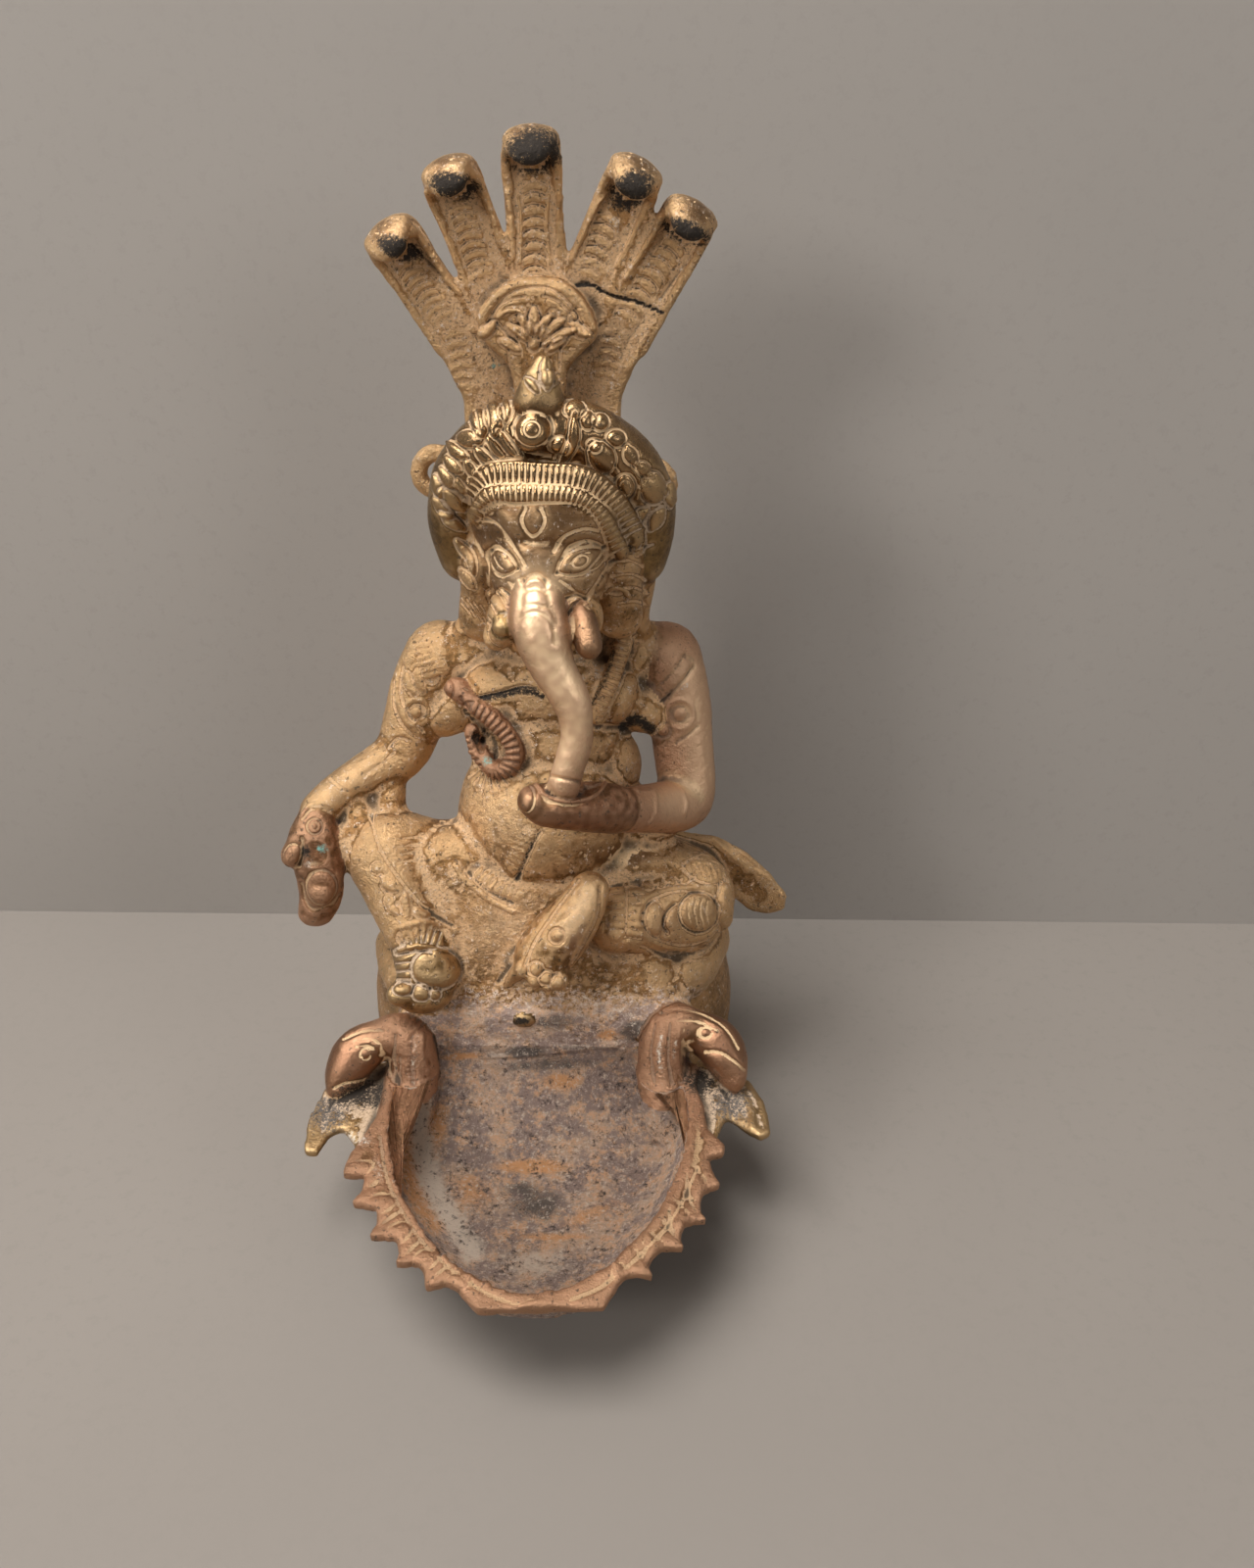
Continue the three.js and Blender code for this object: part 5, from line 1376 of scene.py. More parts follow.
# strokes of the serpents beside the pan, the pan and its border
border = ["pan_border", "fin_left", "fin_right"]
pressAll("side_serpent_left", {
    "eye": (dome, ((373, 1076), (4, 5), 0.3)),
    "lid": (line, ([(364, 1068), (372, 1066), (380, 1070)], 1.4, -0.3)),
    "brow": (line, ([(366, 1066), (376, 1064), (385, 1068)], 2, 0.4)),
    "mouth": (line, ([(341, 1111), (352, 1106), (366, 1104), (378, 1100)], 1.6, -0.5)),
    "crest": (line, ([(350, 1060), (370, 1052), (396, 1052)], 1.6, -0.35)),
    "neck": (ribs, ([(392, 1040), (412, 1044), (428, 1056)], 13, 6, 0.35)),
    "pillar flutes": (line, ([(404, 1056), (402, 1082), (406, 1112)], 1.8, -0.5),
        ([(421, 1058), (419, 1084), (421, 1112)], 1.6, -0.35)),
    "pillar rim": (line, ([(430, 1056), (431, 1078), (437, 1094)], 2.4, 0.45)),
    "brown": (smear, ("brown", (356, 1084), 44, 1.3)),
    "copper": (smear, ("copper", (350, 1080), (40, 42))),
    "pillar dust": (streak, ("pale", [(424, 1060), (422, 1100), (430, 1150)], 12, 0.6)),
})
pressAll("side_serpent_right", {
    "eye": (dome, ((720, 1054), 4, 0.3)),
    "lid": (ring, ((720, 1054), (7, 6), 1.2, -0.25)),
    "mouth": (line, ([(760, 1092), (748, 1082), (734, 1074), (720, 1074)], 1.6, -0.5)),
    "lines": (line, ([(674, 1034), (698, 1030), (722, 1036), (742, 1050), (754, 1070)], 1.6, -0.35),
        ([(690, 1042), (712, 1042), (734, 1052)], 1.4, -0.3)),
    "pillar flutes": (line, ([(668, 1044), (664, 1074), (668, 1104)], 1.8, -0.5),
        ([(684, 1044), (682, 1076), (686, 1106)], 1.8, -0.5)),
    "pillar rim": (line, ([(694, 1050), (692, 1080), (697, 1110)], 2, 0.4)),
    "pillar chalk": (streak, ("pale", [(675, 1058), (672, 1074), (674, 1090)], 3),
        ("pale", [(690, 1062), (687, 1080)], 3, 0.8)),
    "brown": (smear, ("brown", (734, 1060), 44, 1.3)),
    "copper": (smear, ("copper", (738, 1062), (40, 42))),
    "pillar dust": (streak, ("pale", [(676, 1050), (676, 1100), (684, 1150)], 9, 0.5)),
})
# painted shade under the two serpents' heads
pressAll(["side_serpent_left", *border], {
    "under the left serpent": (smear, ("dark", (368, 1118), (34, 18), 0.8)),
})
pressAll(["side_serpent_right", *border], {
    "under the right serpent": (smear, ("dark", (716, 1104), (26, 18), 0.8)),
})
pressAll("pan_border", {
    "left bead": (line, ([(400, 1150), (411, 1206), (446, 1262), (500, 1309)], 3.2, 0.35)),
    "right bead": (line, ([(614, 1303), (672, 1244), (703, 1186), (706, 1130)], 3.2, 0.35)),
    "groove": (line, ([(388, 1160), (399, 1212), (436, 1272), (490, 1316), (530, 1332)], 2, -0.4)),
    "right groove": (line, ([(584, 1326), (624, 1306), (682, 1250), (712, 1192)], 2, -0.4)),
    "lip's edge": (line, ([(490, 1333), (520, 1335), (552, 1329), (585, 1334), (616, 1333)], 2, 0.35)),
})
pressAll(["lap_cloth", "lamp_pan"], {
    "ledge's ridge": (line, ([(438, 1083), (490, 1079), (540, 1076), (590, 1070), (642, 1064)], 2, 0.5)),
    "ledge soot": (smear, ("soot", (536, 1073), (30, 9), 1.2)),
    # orange heat colour on the ledge's ridge, which also stands as a painted highlight on its lit edge
    "orange": (smear, ("copper", (470, 1078), (34, 5), 1, -5)),
    "ash": (smear, ("pale", (508, 1076), (30, 4), 0.7, -4), ("pale", (590, 1068), (40, 4), 0.7, -4)),
})
pressAll("fin_left", {
    "ridge": (line, ([(328, 1104), (318, 1136), (310, 1168)], 4, 0.5)),
    "groove": (line, ([(344, 1112), (334, 1136), (330, 1154)], 2, -0.4)),
})
pressAll("fin_right", {
    "ridge": (line, ([(754, 1108), (766, 1132), (768, 1152)], 4, 0.5)),
    "groove": (line, ([(736, 1112), (748, 1130), (752, 1142)], 2, -0.4)),
})
pressAll(border, {
    "left fin's chalk": (smear, ("pale", (362, 1162), (28, 11), 1, 10)),
    "left border's chalk": (smear, ("pale", (386, 1194), (12, 26), 0.7, -12)),
    "right fin's chalk": (smear, ("pale", (742, 1106), (20, 8), 1, 10)),
    "left fin's soot": (smear, ("soot", (334, 1134), 36, 1.2)),
    "right fin's soot": (smear, ("soot", (746, 1126), (36, 34), 1.2)),
})
pressAll("lamp_pan", {
    "charcoal": (smear, ("soot", (548, 1230), (50, 26)), ("soot", (536, 1214), (34, 14))),
    "orange": (smear, ("copper", (545, 1190), (44, 9), 1.3), ("copper", (574, 1104), (26, 12)),
        ("copper", (600, 1240), (50, 12), 0.7, -25), ("copper", (480, 1215), (40, 26), 0.7, 30),
        ("copper", (565, 1262), (60, 8), 0.7)),
    # ochre, which also stands as painted light on the shaded left inner wall
    "ochre wall": (smear, ("copper", (444, 1150), (16, 36), 1, 12)),
    "ash": (smear, ("pale", (548, 1290), (70, 22), 0.8), ("pale", (470, 1262), (40, 12), 0.6, 38)),
})
# soot below the ledge's edge, which also stands as the painted shadow that the edge casts into the pan
pressAll(["lamp_pan", "lap_cloth"], {"back soot": (smear, ("soot", (560, 1086), (96, 12), 0.9, -3))})
pressAll("lap_cloth", {
    "ledge soot": (smear, ("soot", (566, 1044), (34, 14)), ("soot", (648, 1052), (22, 18), 1.2),
        ("soot", (500, 1046), (60, 22), 0.6)),
    "orange": (smear, ("copper", (620, 1056), (14, 8))),
})
# a painted dark hole below the rivet: painted shade
pressAll(["lap_rivet", "lap_cloth"], {"rivet hole": (smear, ("dark", (532, 1042), (9, 4), 1.4))})
pressAll(["lamp_pan", "side_serpent_left"], {
    # ochre, which also stands as painted light on the shaded inner wall behind the pillar
    "ochre back": (smear, ("copper", (426, 1130), (20, 60), 0.8, 4)),
    "pan wall's flutes": (line, ([(408, 1080), (408, 1130), (416, 1180)], 2.4, -0.4),
        ([(422, 1080), (424, 1130), (430, 1176)], 2.4, -0.4)),
})
pressAll("pan_border", {
    "flames": (leaf, *((base, tip, 9, 0.35, 3) for base, tip in (
        ((376, 1190), (347, 1209)), ((402, 1224), (373, 1239)), ((418, 1252), (396, 1271)),
        ((446, 1280), (424, 1296)), ((480, 1304), (455, 1318)), ((706, 1194), (724, 1226)),
        ((688, 1230), (708, 1258)), ((662, 1262), (682, 1284)), ((628, 1292), (650, 1311))))),
    "clefts": (line, *((path, 2.4, -0.3) for path in (
        [(360, 1219), (384, 1206)], [(384, 1251), (408, 1236)], [(410, 1283), (430, 1264)],
        [(440, 1306), (460, 1288)], [(714, 1242), (700, 1216)], [(694, 1266), (678, 1246)],
        [(666, 1292), (646, 1272)]))),
})

# strokes of the back, drawn at five pixels to the millimetre
pressAll(["naga_hood", "naga_head_3"], {
    "serpent's back": (scales, ([(0, -960), (0, -600), (0, -260)], 24, 15, 0.5, 6, backView)),
})
pressAll("naga_hood", {
    "serpent's left side": (line, ([(-27, -860), (-27, -280)], 2.5, -0.4, None, backView)),
    "serpent's right side": (line, ([(27, -860), (27, -280)], 2.5, -0.4, None, backView)),
    "left hood edge": (line, ([(-66, -540), (-67, -776), (-96, -836)], 3, -0.4, None, backView)),
    "right hood edge": (line, ([(66, -540), (67, -776), (96, -836)], 3, -0.4, None, backView)),
    "left hood scales": (scales, ([(-47, -860), (-47, -540)], 15, 17, 0.35, 5, backView)),
    "right hood scales": (scales, ([(47, -860), (47, -540)], 15, 17, 0.35, 5, backView)),
})
pressAll("torso", {
    "waist cloth's edge": (line, ([(-90, -330), (0, -300), (90, -330)], 4, 0.5, 0, backView)),
    "waist cloth's groove": (line, ([(-90, -340), (0, -311), (90, -340)], 2.5, -0.5, None, backView)),
})
for i, serpent in enumerate(serpents):
    ends = [(x * backScale, -z * backScale) for x, z in (serpent["foot"], serpent["top"])]
    pressAll(f"naga_head_{i + 1}", {"scales": (scales, (ends, 19, 13, 0.35, 5, backView))})

# a cast surface: uneven, pitted, and crusted where oil has burnt
unevenness = {"swell": 0.22, "swellSize": 7, "fine": 0.09, "fineSize": 1.7, "pit": 0.12, "pitSize": 0.75,
              "crust": 0.3,
              "crustSize": 1.2, "polish": 0.3, "pitFrom": 0.42, "pitRange": 0.16, "crustFrom": 1000,
              "crustRange": 20, "burntRange": 40}


def noiseOver(own, size, seed):
    return np.array([noise.noise(Vector(p) / size + Vector((seed, 0, 0))) for p in spots[own].tolist()])


smoothNodes = ["trunk", "tusk", "hand_left", "hand_right", "foot_folded", "side_serpent_left",
               "side_serpent_right", "pan_border", *headParts]
every = np.arange(len(spots))
u = unevenness
polish = np.ones(len(spots))
polish[np.concatenate([members[node] for node in headParts])] = u["polish"]
rise += (u["swell"] * noiseOver(every, u["swellSize"], 3)
         + polish * u["fine"] * noiseOver(every, u["fineSize"], 9))
pitted = np.setdiff1d(every, np.concatenate([members[node] for node in smoothNodes]))
pits = np.clip((noiseOver(pitted, u["pitSize"], 17) - u["pitFrom"]) / u["pitRange"], 0, 1)
rise[pitted] -= u["pit"] * pits
dust[pitted] = np.maximum(dust[pitted], 0.8 * pits)
burnt = np.union1d(members["lamp_pan"], members["lap_cloth"])
ledge = np.clip((photoView[1][burnt] - u["crustFrom"]) / u["crustRange"], 0, 1)
grains = noiseOver(burnt, u["crustSize"], 29) + 0.7 * noiseOver(burnt, u["crustSize"] * 2.3, 31)
rise[burnt] += u["crust"] * ledge * grains
extraDust = {"pan_border": 0.25, "side_serpent_left": 0.25, "side_serpent_right": 0.25, "fin_left": 0.9,
             "fin_right": 0.9,
             "cushion": 1.0, "naga_hood": 0.9, "palmette": 0.3, "lap_cloth": 0.35, "torso": 0.15,
             **{f"naga_head_{i}": 0.6 for i in range(1, 6)}}
for node, share in extraDust.items():
    dust[members[node]] += share
seen = photoView[2][burnt] > 0
stain["burnt"][burnt] = np.clip((photoView[1][burnt] - u["crustFrom"]) / u["burntRange"], 0, 1) * seen

spots = spots + normals * rise[:, None]
relax(0.25, 1)
normals = refresh()
print("ornament pressed")


def hollowness(rounds=(4, 14, 40), weight=0.6):
    # how far each spot lies below its smoothed surroundings, at three reaches, in mm
    soft, out = spots.copy(), []
    for count in rounds:
        for _ in range(count):
            soft = soft + weight * (around(soft) - soft)
        out.append(((soft - spots) * normals).sum(1))
    return out


marks = {**dict(zip(("fine", "middle", "wide"), hollowness())), "dust": dust, **stain}
print("hollows measured")

# cut the wax into its pieces
cutValues = {"rimDepth": 0.5, "shell": 0.7, "reaches": (0, 1.5, 3, 5, 8), "probes": 40, "worstShare": 0.15}
shellNodes = ["lamp_pan"]
fanCentres = {"stand": (0, 0, 31)}


def pieceMesh(label):
    starts = np.concatenate([[0], np.cumsum(faceSizes)[:-1]])
    own = np.nonzero(labels == label)[0]
    sizes = faceSizes[own]
    loops = np.concatenate([np.arange(s, s + n) for s, n in zip(starts[own], sizes)]
                           ) if len(own) else np.array([], int)
    used, verts = np.unique(loopVertex[loops], return_inverse=True)
    mesh = bpy.data.meshes.new(nodes[label])
    mesh.vertices.add(len(used))
    mesh.vertices.foreach_set("co", spots[used].astype(np.float32).ravel())
    mesh.loops.add(len(verts))
    mesh.loops.foreach_set("vertex_index", verts.astype(np.int32))
    mesh.polygons.add(len(sizes))
    mesh.polygons.foreach_set("loop_start", np.concatenate([[0], np.cumsum(sizes)[:-1]]).astype(np.int32))
    mesh.update(calc_edges=True)
    return mesh, used


def openLoops(bm):
    left = {e for e in bm.edges if e.is_boundary}
    loops = []
    while left:
        edge = left.pop()
        loop, front = [edge], [edge.verts[0], edge.verts[1]]
        while front:
            vert = front.pop()
            for other in vert.link_edges:
                if other in left:
                    left.discard(other)
                    loop.append(other)
                    front.append(other.other_vert(vert))
        loops.append(loop)
    return loops


def crossings(tree, points, target):
    bad = 0
    for p in points:
        way = target - p
        if way.length > 0.05 and tree.ray_cast(p, way.normalized(), way.length)[0] is not None:
            bad += 1
    return bad / max(len(points), 1)


def closePiece(name, mesh, used, shell=False):
    bm = bmesh.new()
    bm.from_mesh(mesh)
    outward = {v: Vector(normals[used[v.index]]) for v in bm.verts}
    if shell:
        bmesh.ops.solidify(bm, geom=bm.faces[:], thickness=cutValues["shell"])
    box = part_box(name)
    boxMiddle = toFrame.inverted() @ ((box[0] + box[1]) / 2)
    unclosed = []
    for loop in openLoops(bm):
        rim = list({v for e in loop for v in e.verts})
        middle = sum((v.co for v in rim), Vector()) / len(rim)
        lean = sum((outward[v] for v in rim), Vector()) / len(rim)
        made = bmesh.ops.extrude_edge_only(bm, edges=loop)
        inner = newVertices(made)
        ring = [e for e in made["geom"] if isinstance(e, bmesh.types.BMEdge)]
        rimSet = set(rim)
        for v in inner:
            old = next((e.other_vert(v) for e in v.link_edges if e.other_vert(v) in rimSet), None)
            if old:
                v.co = old.co - outward[old] * cutValues["rimDepth"]
        probe = [v.co.copy() for v in inner[::max(1, len(inner) // cutValues["probes"])]]
        options = [middle - lean * k for k in cutValues["reaches"]] + [boxMiddle, (boxMiddle + middle) / 2]
        if name in fanCentres:
            options = [Vector(fanCentres[name])]
        best = min(options, key=lambda c: crossings(waxTree, probe, c))
        share = crossings(waxTree, probe, best)
        edgesLeft = [e for e in ring if e.is_boundary]
        if share > cutValues["worstShare"] and name not in fanCentres:
            unclosed.append(edgesLeft)
        else:
            made = bmesh.ops.extrude_edge_only(bm, edges=edgesLeft)
            bmesh.ops.pointmerge(bm, verts=newVertices(made), merge_co=best)
    if unclosed:
        unclosed.sort(key=len)
        small = unclosed[:-2] if len(unclosed) > 1 else []
        simple = all(sum(e.is_boundary for e in v.link_edges) == 2
                     for loop in unclosed for e in loop for v in e.verts)
        if len(unclosed) >= 2 and simple and not shell:
            bmesh.ops.bridge_loops(bm, edges=unclosed[-1] + unclosed[-2])
            for loop in small:
                bmesh.ops.holes_fill(bm, edges=loop, sides=0)
        elif not shell:
            bm.free()
            closePiece(name, mesh, used, True)
            return
    bmesh.ops.triangulate(bm, faces=[f for f in bm.faces if len(f.verts) > 4])
    bmesh.ops.recalc_face_normals(bm, faces=bm.faces)
    if sum(v.normal.dot(way) for v, way in outward.items()) < 0:
        bmesh.ops.reverse_faces(bm, faces=bm.faces)
    bm.to_mesh(mesh)
    bm.free()


def hollowOut(mesh):
    # a plain wall behind the cloth and the pan, then the hollow that is open below
    s = standValues
    shell = inScene("shell", mesh)
    coreProfile = drumProfile(s["coreInset"], s["coreInset"], s["height"] - s["coreTop"])
    hollowProfile = drumProfile(s["wall"], s["hollowLow"], s["height"] - s["roof"])
    core = inScene("core", meshOf(lathe(coreProfile, s["squash"], 72), "core"))
    hollow = inScene("hollow", meshOf(lathe(hollowProfile, s["squash"], 72), "hollow"))
    modifier(shell, "BOOLEAN", operation="UNION", object=core, solver="FAST")
    modifier(shell, "BOOLEAN", operation="DIFFERENCE", object=hollow, solver="FAST")
    made = evaluated(shell)
    for thing in (shell, core, hollow):
        bpy.data.objects.remove(thing)
    return made


def waxVertices(mesh, used):
    # for each vertex of a piece, the wax's vertex that it is, and whether it is one
    places = numbers(mesh.vertices, "co", 3)
    own = np.zeros(len(places), np.int64)
    on = np.zeros(len(places), bool)
    if len(places) >= len(used) and np.allclose(places[:len(used)], spots[used], atol=1e-3):
        own[:len(used)] = used
        on[:len(used)] = True
        return own, on
    known = {tuple(p): i for p, i in zip(np.round(spots[used], 2).tolist(), used.tolist())}
    for k, p in enumerate(np.round(places, 2).tolist()):
        index = known.get(tuple(p))
        if index is not None:
            own[k], on[k] = index, True
    return own, on


waxTree = BVHTree.FromPolygons(spots.tolist(), np.split(loopVertex, np.cumsum(faceSizes)[:-1]))


# materials
def plug(tree, socket, value):
    if isinstance(value, bpy.types.NodeSocket):
        tree.links.new(value, socket)
    else:
        socket.default_value = (*value, 1) if isinstance(value, tuple) and len(value) == 3 else value


def add(tree, kind, values=None, **settings):
    made = tree.nodes.new(kind)
    for key, value in settings.items():
        setattr(made, key, value)
    for key, value in (values or {}).items():
        plug(tree, made.inputs[key], value)
    return made


def maths(tree, operation, first, second=0.0, clamp=False):
    return add(tree, "ShaderNodeMath", {0: first, 1: second}, operation=operation, use_clamp=clamp).outputs[0]


def times(tree, *values):
    return maths(tree, "MULTIPLY", *values)


def plus(tree, *values):
    return maths(tree, "ADD", *values)


def minus(tree, *values):
    return maths(tree, "SUBTRACT", *values)


def most(tree, *values):
    return maths(tree, "MAXIMUM", *values)


def ramp(tree, value, low, high, out=(0.0, 1.0)):
    made = add(tree, "ShaderNodeMapRange", {"Value": value, "From Min": low, "From Max": high, "To Min": out[0],
                                            "To Max": out[1]}, interpolation_type="SMOOTHSTEP")
    return made.outputs["Result"]


def mixed(tree, factor, first, second):
    made = add(tree, "ShaderNodeMix", data_type="RGBA")
    for index, value in ((0, factor), (6, first), (7, second)):
        plug(tree, made.inputs[index], value)
    return made.outputs[2]


def millimetres(tree):
    place = add(tree, "ShaderNodeTexCoord").outputs["Object"]
    return add(tree, "ShaderNodeVectorMath", {0: place, "Scale": 1000.0}, operation="SCALE").outputs[0]


def grain(tree, where, scale, detail=4.0, roughness=0.6):
    made = add(tree, "ShaderNodeTexNoise", {"Vector": where, "Scale": scale, "Detail": detail,
                                            "Roughness": roughness})
    return made.outputs["Fac"]


def attribute(tree, name):
    return add(tree, "ShaderNodeAttribute", attribute_name=name).outputs["Fac"]


def group(name, inputs, outputs):
    tree = bpy.data.node_groups.new(name, "ShaderNodeTree")
    for key, value in inputs.items():
        kind = "NodeSocketColor" if isinstance(value, tuple) else "NodeSocketFloat"
        socket = tree.interface.new_socket(key, in_out="INPUT", socket_type=kind)
        socket.default_value = value
    kinds = {"Colour": "NodeSocketColor", "Normal": "NodeSocketVector"}
    for key in outputs:
        tree.interface.new_socket(key, in_out="OUTPUT", socket_type=kinds.get(key, "NodeSocketFloat"))
    return tree, tree.nodes.new("NodeGroupInput"), tree.nodes.new("NodeGroupOutput")


def useGroup(tree, name, values=None):
    return add(tree, "ShaderNodeGroup", values, node_tree=bpy.data.node_groups[name])


def finish(tree, out, values):
    for key, value in values.items():
        tree.links.new(value, out.inputs[key])
    return tree


reliefMasks = ("Dust", "CreviceShade", "Groove", "Edge", "Mottle", "Grit")


def reliefGroup():
    # where dust lies, where hollows and pits get a painted shade, and where handling has worn the metal
    tree, given, out = group("castRelief", {"Dustiness": 1.0}, reliefMasks)
    where = millimetres(tree)
    broad, small = grain(tree, where, 0.13, 5, 0.65), grain(tree, where, 0.8, 7, 0.8)
    grit = grain(tree, where, 1.5, 5, 0.85)
    pits = ramp(tree, grain(tree, where, 1.15, 2, 0.5), 0.645, 0.69)
    fine, middle, wide = attribute(tree, "fine"), attribute(tree, "middle"), attribute(tree, "wide")
    lying = times(tree, minus(tree, broad, 0.5), 2.0)
    speckle = times(tree, minus(tree, small, 0.5), 2.6)
    hollow = plus(tree, times(tree, middle, 7.0), times(tree, wide, 1.5))
    total = plus(tree, plus(tree, attribute(tree, "dust"), hollow), plus(tree, lying, speckle))
    # painted shade: the deepest hollows are darkened in the colour
    deep = ramp(tree, plus(tree, wide, middle), 0.3, 0.8)
    finish(tree, out, {
        "Dust": ramp(tree, plus(tree, total, given.outputs["Dustiness"]), 0.75, 1.3),
        "CreviceShade": most(tree, deep, times(tree, pits, minus(tree, 0.8, attribute(tree, "rubbed"), True))),
        "Groove": ramp(tree, plus(tree, times(tree, middle, 0.3), times(tree, fine, 2.5)),
                       0.012, 0.05),
        "Edge": ramp(tree, times(tree, plus(tree, middle, times(tree, wide, 0.25)), -1.0),
                     0.02, 0.09),
        "Mottle": ramp(tree, plus(tree, broad, times(tree, minus(tree, small, 0.5), 1.2)),
                       0.35, 0.65),
        "Grit": grit,
    })
    return tree


def speckled(tree, mask, noiseValue, low=0.3, high=0.8):
    # a stain that breaks up into specks
    broken = plus(tree, times(tree, minus(tree, noiseValue, 0.5), 3.4), 0.72)
    return ramp(tree, times(tree, mask, broken), low, high)


def coatGroup():
    # the metal's own colour under its patina, dust, stains and soot, with painted shade in hollows, creases and
    # under parts, and a painted sheen where the metal is worn bright
    tree, given, out = group("agedCoat", {
        "Metal": (0.5, 0.33, 0.15, 1.0), "Bright": (0.8, 0.6, 0.34, 1.0), "Shade": (0.06, 0.04, 0.02, 1.0),
        "Dust Colour": (0.55, 0.45, 0.34, 1.0), "Dust": 0.0, "CreviceShade": 0.0, "Groove": 0.0, "Edge": 0.0,
        "Mottle": 0.5, "Grit": 0.5,
    }, ("Colour", "Bare", "Polish"))
    o, c = given.outputs, coatColours
    copper, dark, brown, rubbed = (attribute(tree, name) for name in ("copper", "dark", "brown", "rubbed"))
    green, soot, pale = attribute(tree, "green"), attribute(tree, "soot"), attribute(tree, "pale")
    browned = times(tree, ramp(tree, brown, 0.15, 0.8), 0.95)
    plain = minus(tree, 1.0, browned)
    colour = mixed(tree, times(tree, o["Mottle"], 0.9), o["Metal"], o["Shade"])
    # brown patina; on the crown and face it is set darker than bare bronze, as a painted dark reflection, and
    # in places it is painted shade
    colour = mixed(tree, browned, colour, c["brown"])
    colour = mixed(tree, times(tree, copper, 0.85, True), colour, c["copper"])
    # worn, lighter metal, which also serves as a painted sheen
    colour = mixed(tree, times(tree, rubbed, 0.9, True), colour, c["rubbed"])
    edge = times(tree, o["Edge"], plus(tree, times(tree, plain, 0.3), 0.25))
    colour = mixed(tree, edge, colour, o["Bright"])
    powder = mixed(tree, ramp(tree, o["Grit"], 0.5, 0.64), o["Dust Colour"], c["darkDust"])
    polished = most(tree, times(tree, rubbed, 0.85, True), times(tree, copper, 0.6, True))
    polished = most(tree, polished, times(tree, browned, 0.85))
    lying = times(tree, o["Dust"], minus(tree, 1.0, polished), True)
    colour = mixed(tree, lying, colour, powder)
    filled = times(tree, o["Groove"], browned)
    colour = mixed(tree, filled, colour, c["groove"])
    chalk, crust, verdigris = (speckled(tree, mask, o["Grit"], 0.42, 0.9) for mask in (pale, soot, green))
    colour = mixed(tree, chalk, colour, c["chalk"])
    colour = mixed(tree, crust, colour, c["soot"])
    # painted shade: hollows, pits and the dark stain turn near black and lose their metal
    deep = plus(tree, times(tree, o["CreviceShade"], 0.8), speckled(tree, dark, o["Grit"], 0.15, 0.5), True)
    colour = mixed(tree, deep, colour, c["creviceShade"])
    colour = mixed(tree, verdigris, colour, c["verdigris"])
    hidden = most(tree, most(tree, lying, chalk), most(tree, crust, verdigris))
    hidden = most(tree, hidden, most(tree, filled, times(tree, deep, 0.8)))
    bare = minus(tree, 1.0, hidden, True)
    return finish(tree, out, {"Colour": colour, "Bare": bare, "Polish": times(tree, polished, bare)})


def burntGroup():
    # heat colours and crust of the oil pan and of the ledge above it
    tree, _, out = group("burntCrust", {}, ("Colour", "Height", "Smooth"))
    where, c = millimetres(tree), coatColours
    broad, patches = grain(tree, where, 0.14, 6, 0.75), grain(tree, where, 0.28, 7, 0.85)
    fleck, fine = grain(tree, where, 0.5, 8, 0.9), grain(tree, where, 1.0, 5, 0.9)
    colour = mixed(tree, ramp(tree, broad, 0.44, 0.56), c["ashPurple"], c["ashBrown"])
    colour = mixed(tree, ramp(tree, patches, 0.5, 0.6), colour, c["ashOrange"])
    colour = mixed(tree, speckled(tree, attribute(tree, "copper"), fleck, 0.2, 0.6), colour, c["heatOrange"])
    colour = mixed(tree, speckled(tree, attribute(tree, "pale"), fleck, 0.25, 0.7), colour, c["ash"])
    colour = mixed(tree, speckled(tree, attribute(tree, "soot"), fleck, 0.4, 0.65), colour, c["charcoal"])
    colour = mixed(tree, ramp(tree, fine, 0.54, 0.61), colour, c["ash"])
    colour = mixed(tree, ramp(tree, fleck, 0.455, 0.4), colour, c["char"])
    # painted shade on the crust where the dark stain lies
    colour = mixed(tree, speckled(tree, attribute(tree, "dark"), fleck, 0.25, 0.6), colour, c["creviceShade"])
    height = plus(tree, fleck, times(tree, fine, 0.7))
    return finish(tree, out, {"Colour": colour, "Height": height, "Smooth": ramp(tree, broad, 0.5, 0.3)})


def grainGroup():
    # casting skin that stands out of the surface, its depth given in millimetres
    tree, given, out = group("castGrain", {"Depth": 0.3, "Bare": 1.0}, ("Normal",))
    where = millimetres(tree)
    lumps, fine = grain(tree, where, 0.5, 7, 0.75), grain(tree, where, 2.2, 4, 0.8)
    crumbs = add(tree, "ShaderNodeTexVoronoi", {"Vector": where, "Scale": 1.9},
                 feature="F1").outputs["Distance"]
    height = plus(tree, times(tree, lumps, 1.8),
                   plus(tree, times(tree, fine, 0.7), times(tree, crumbs, 0.35)))
    calm = minus(tree, 1.0, times(tree, given.outputs["Bare"], 0.55))
    depth = times(tree, times(tree, given.outputs["Depth"], 0.001), calm)
    bump = add(tree, "ShaderNodeBump", {"Height": height, "Distance": depth})
    return finish(tree, out, {"Normal": bump.outputs["Normal"]})
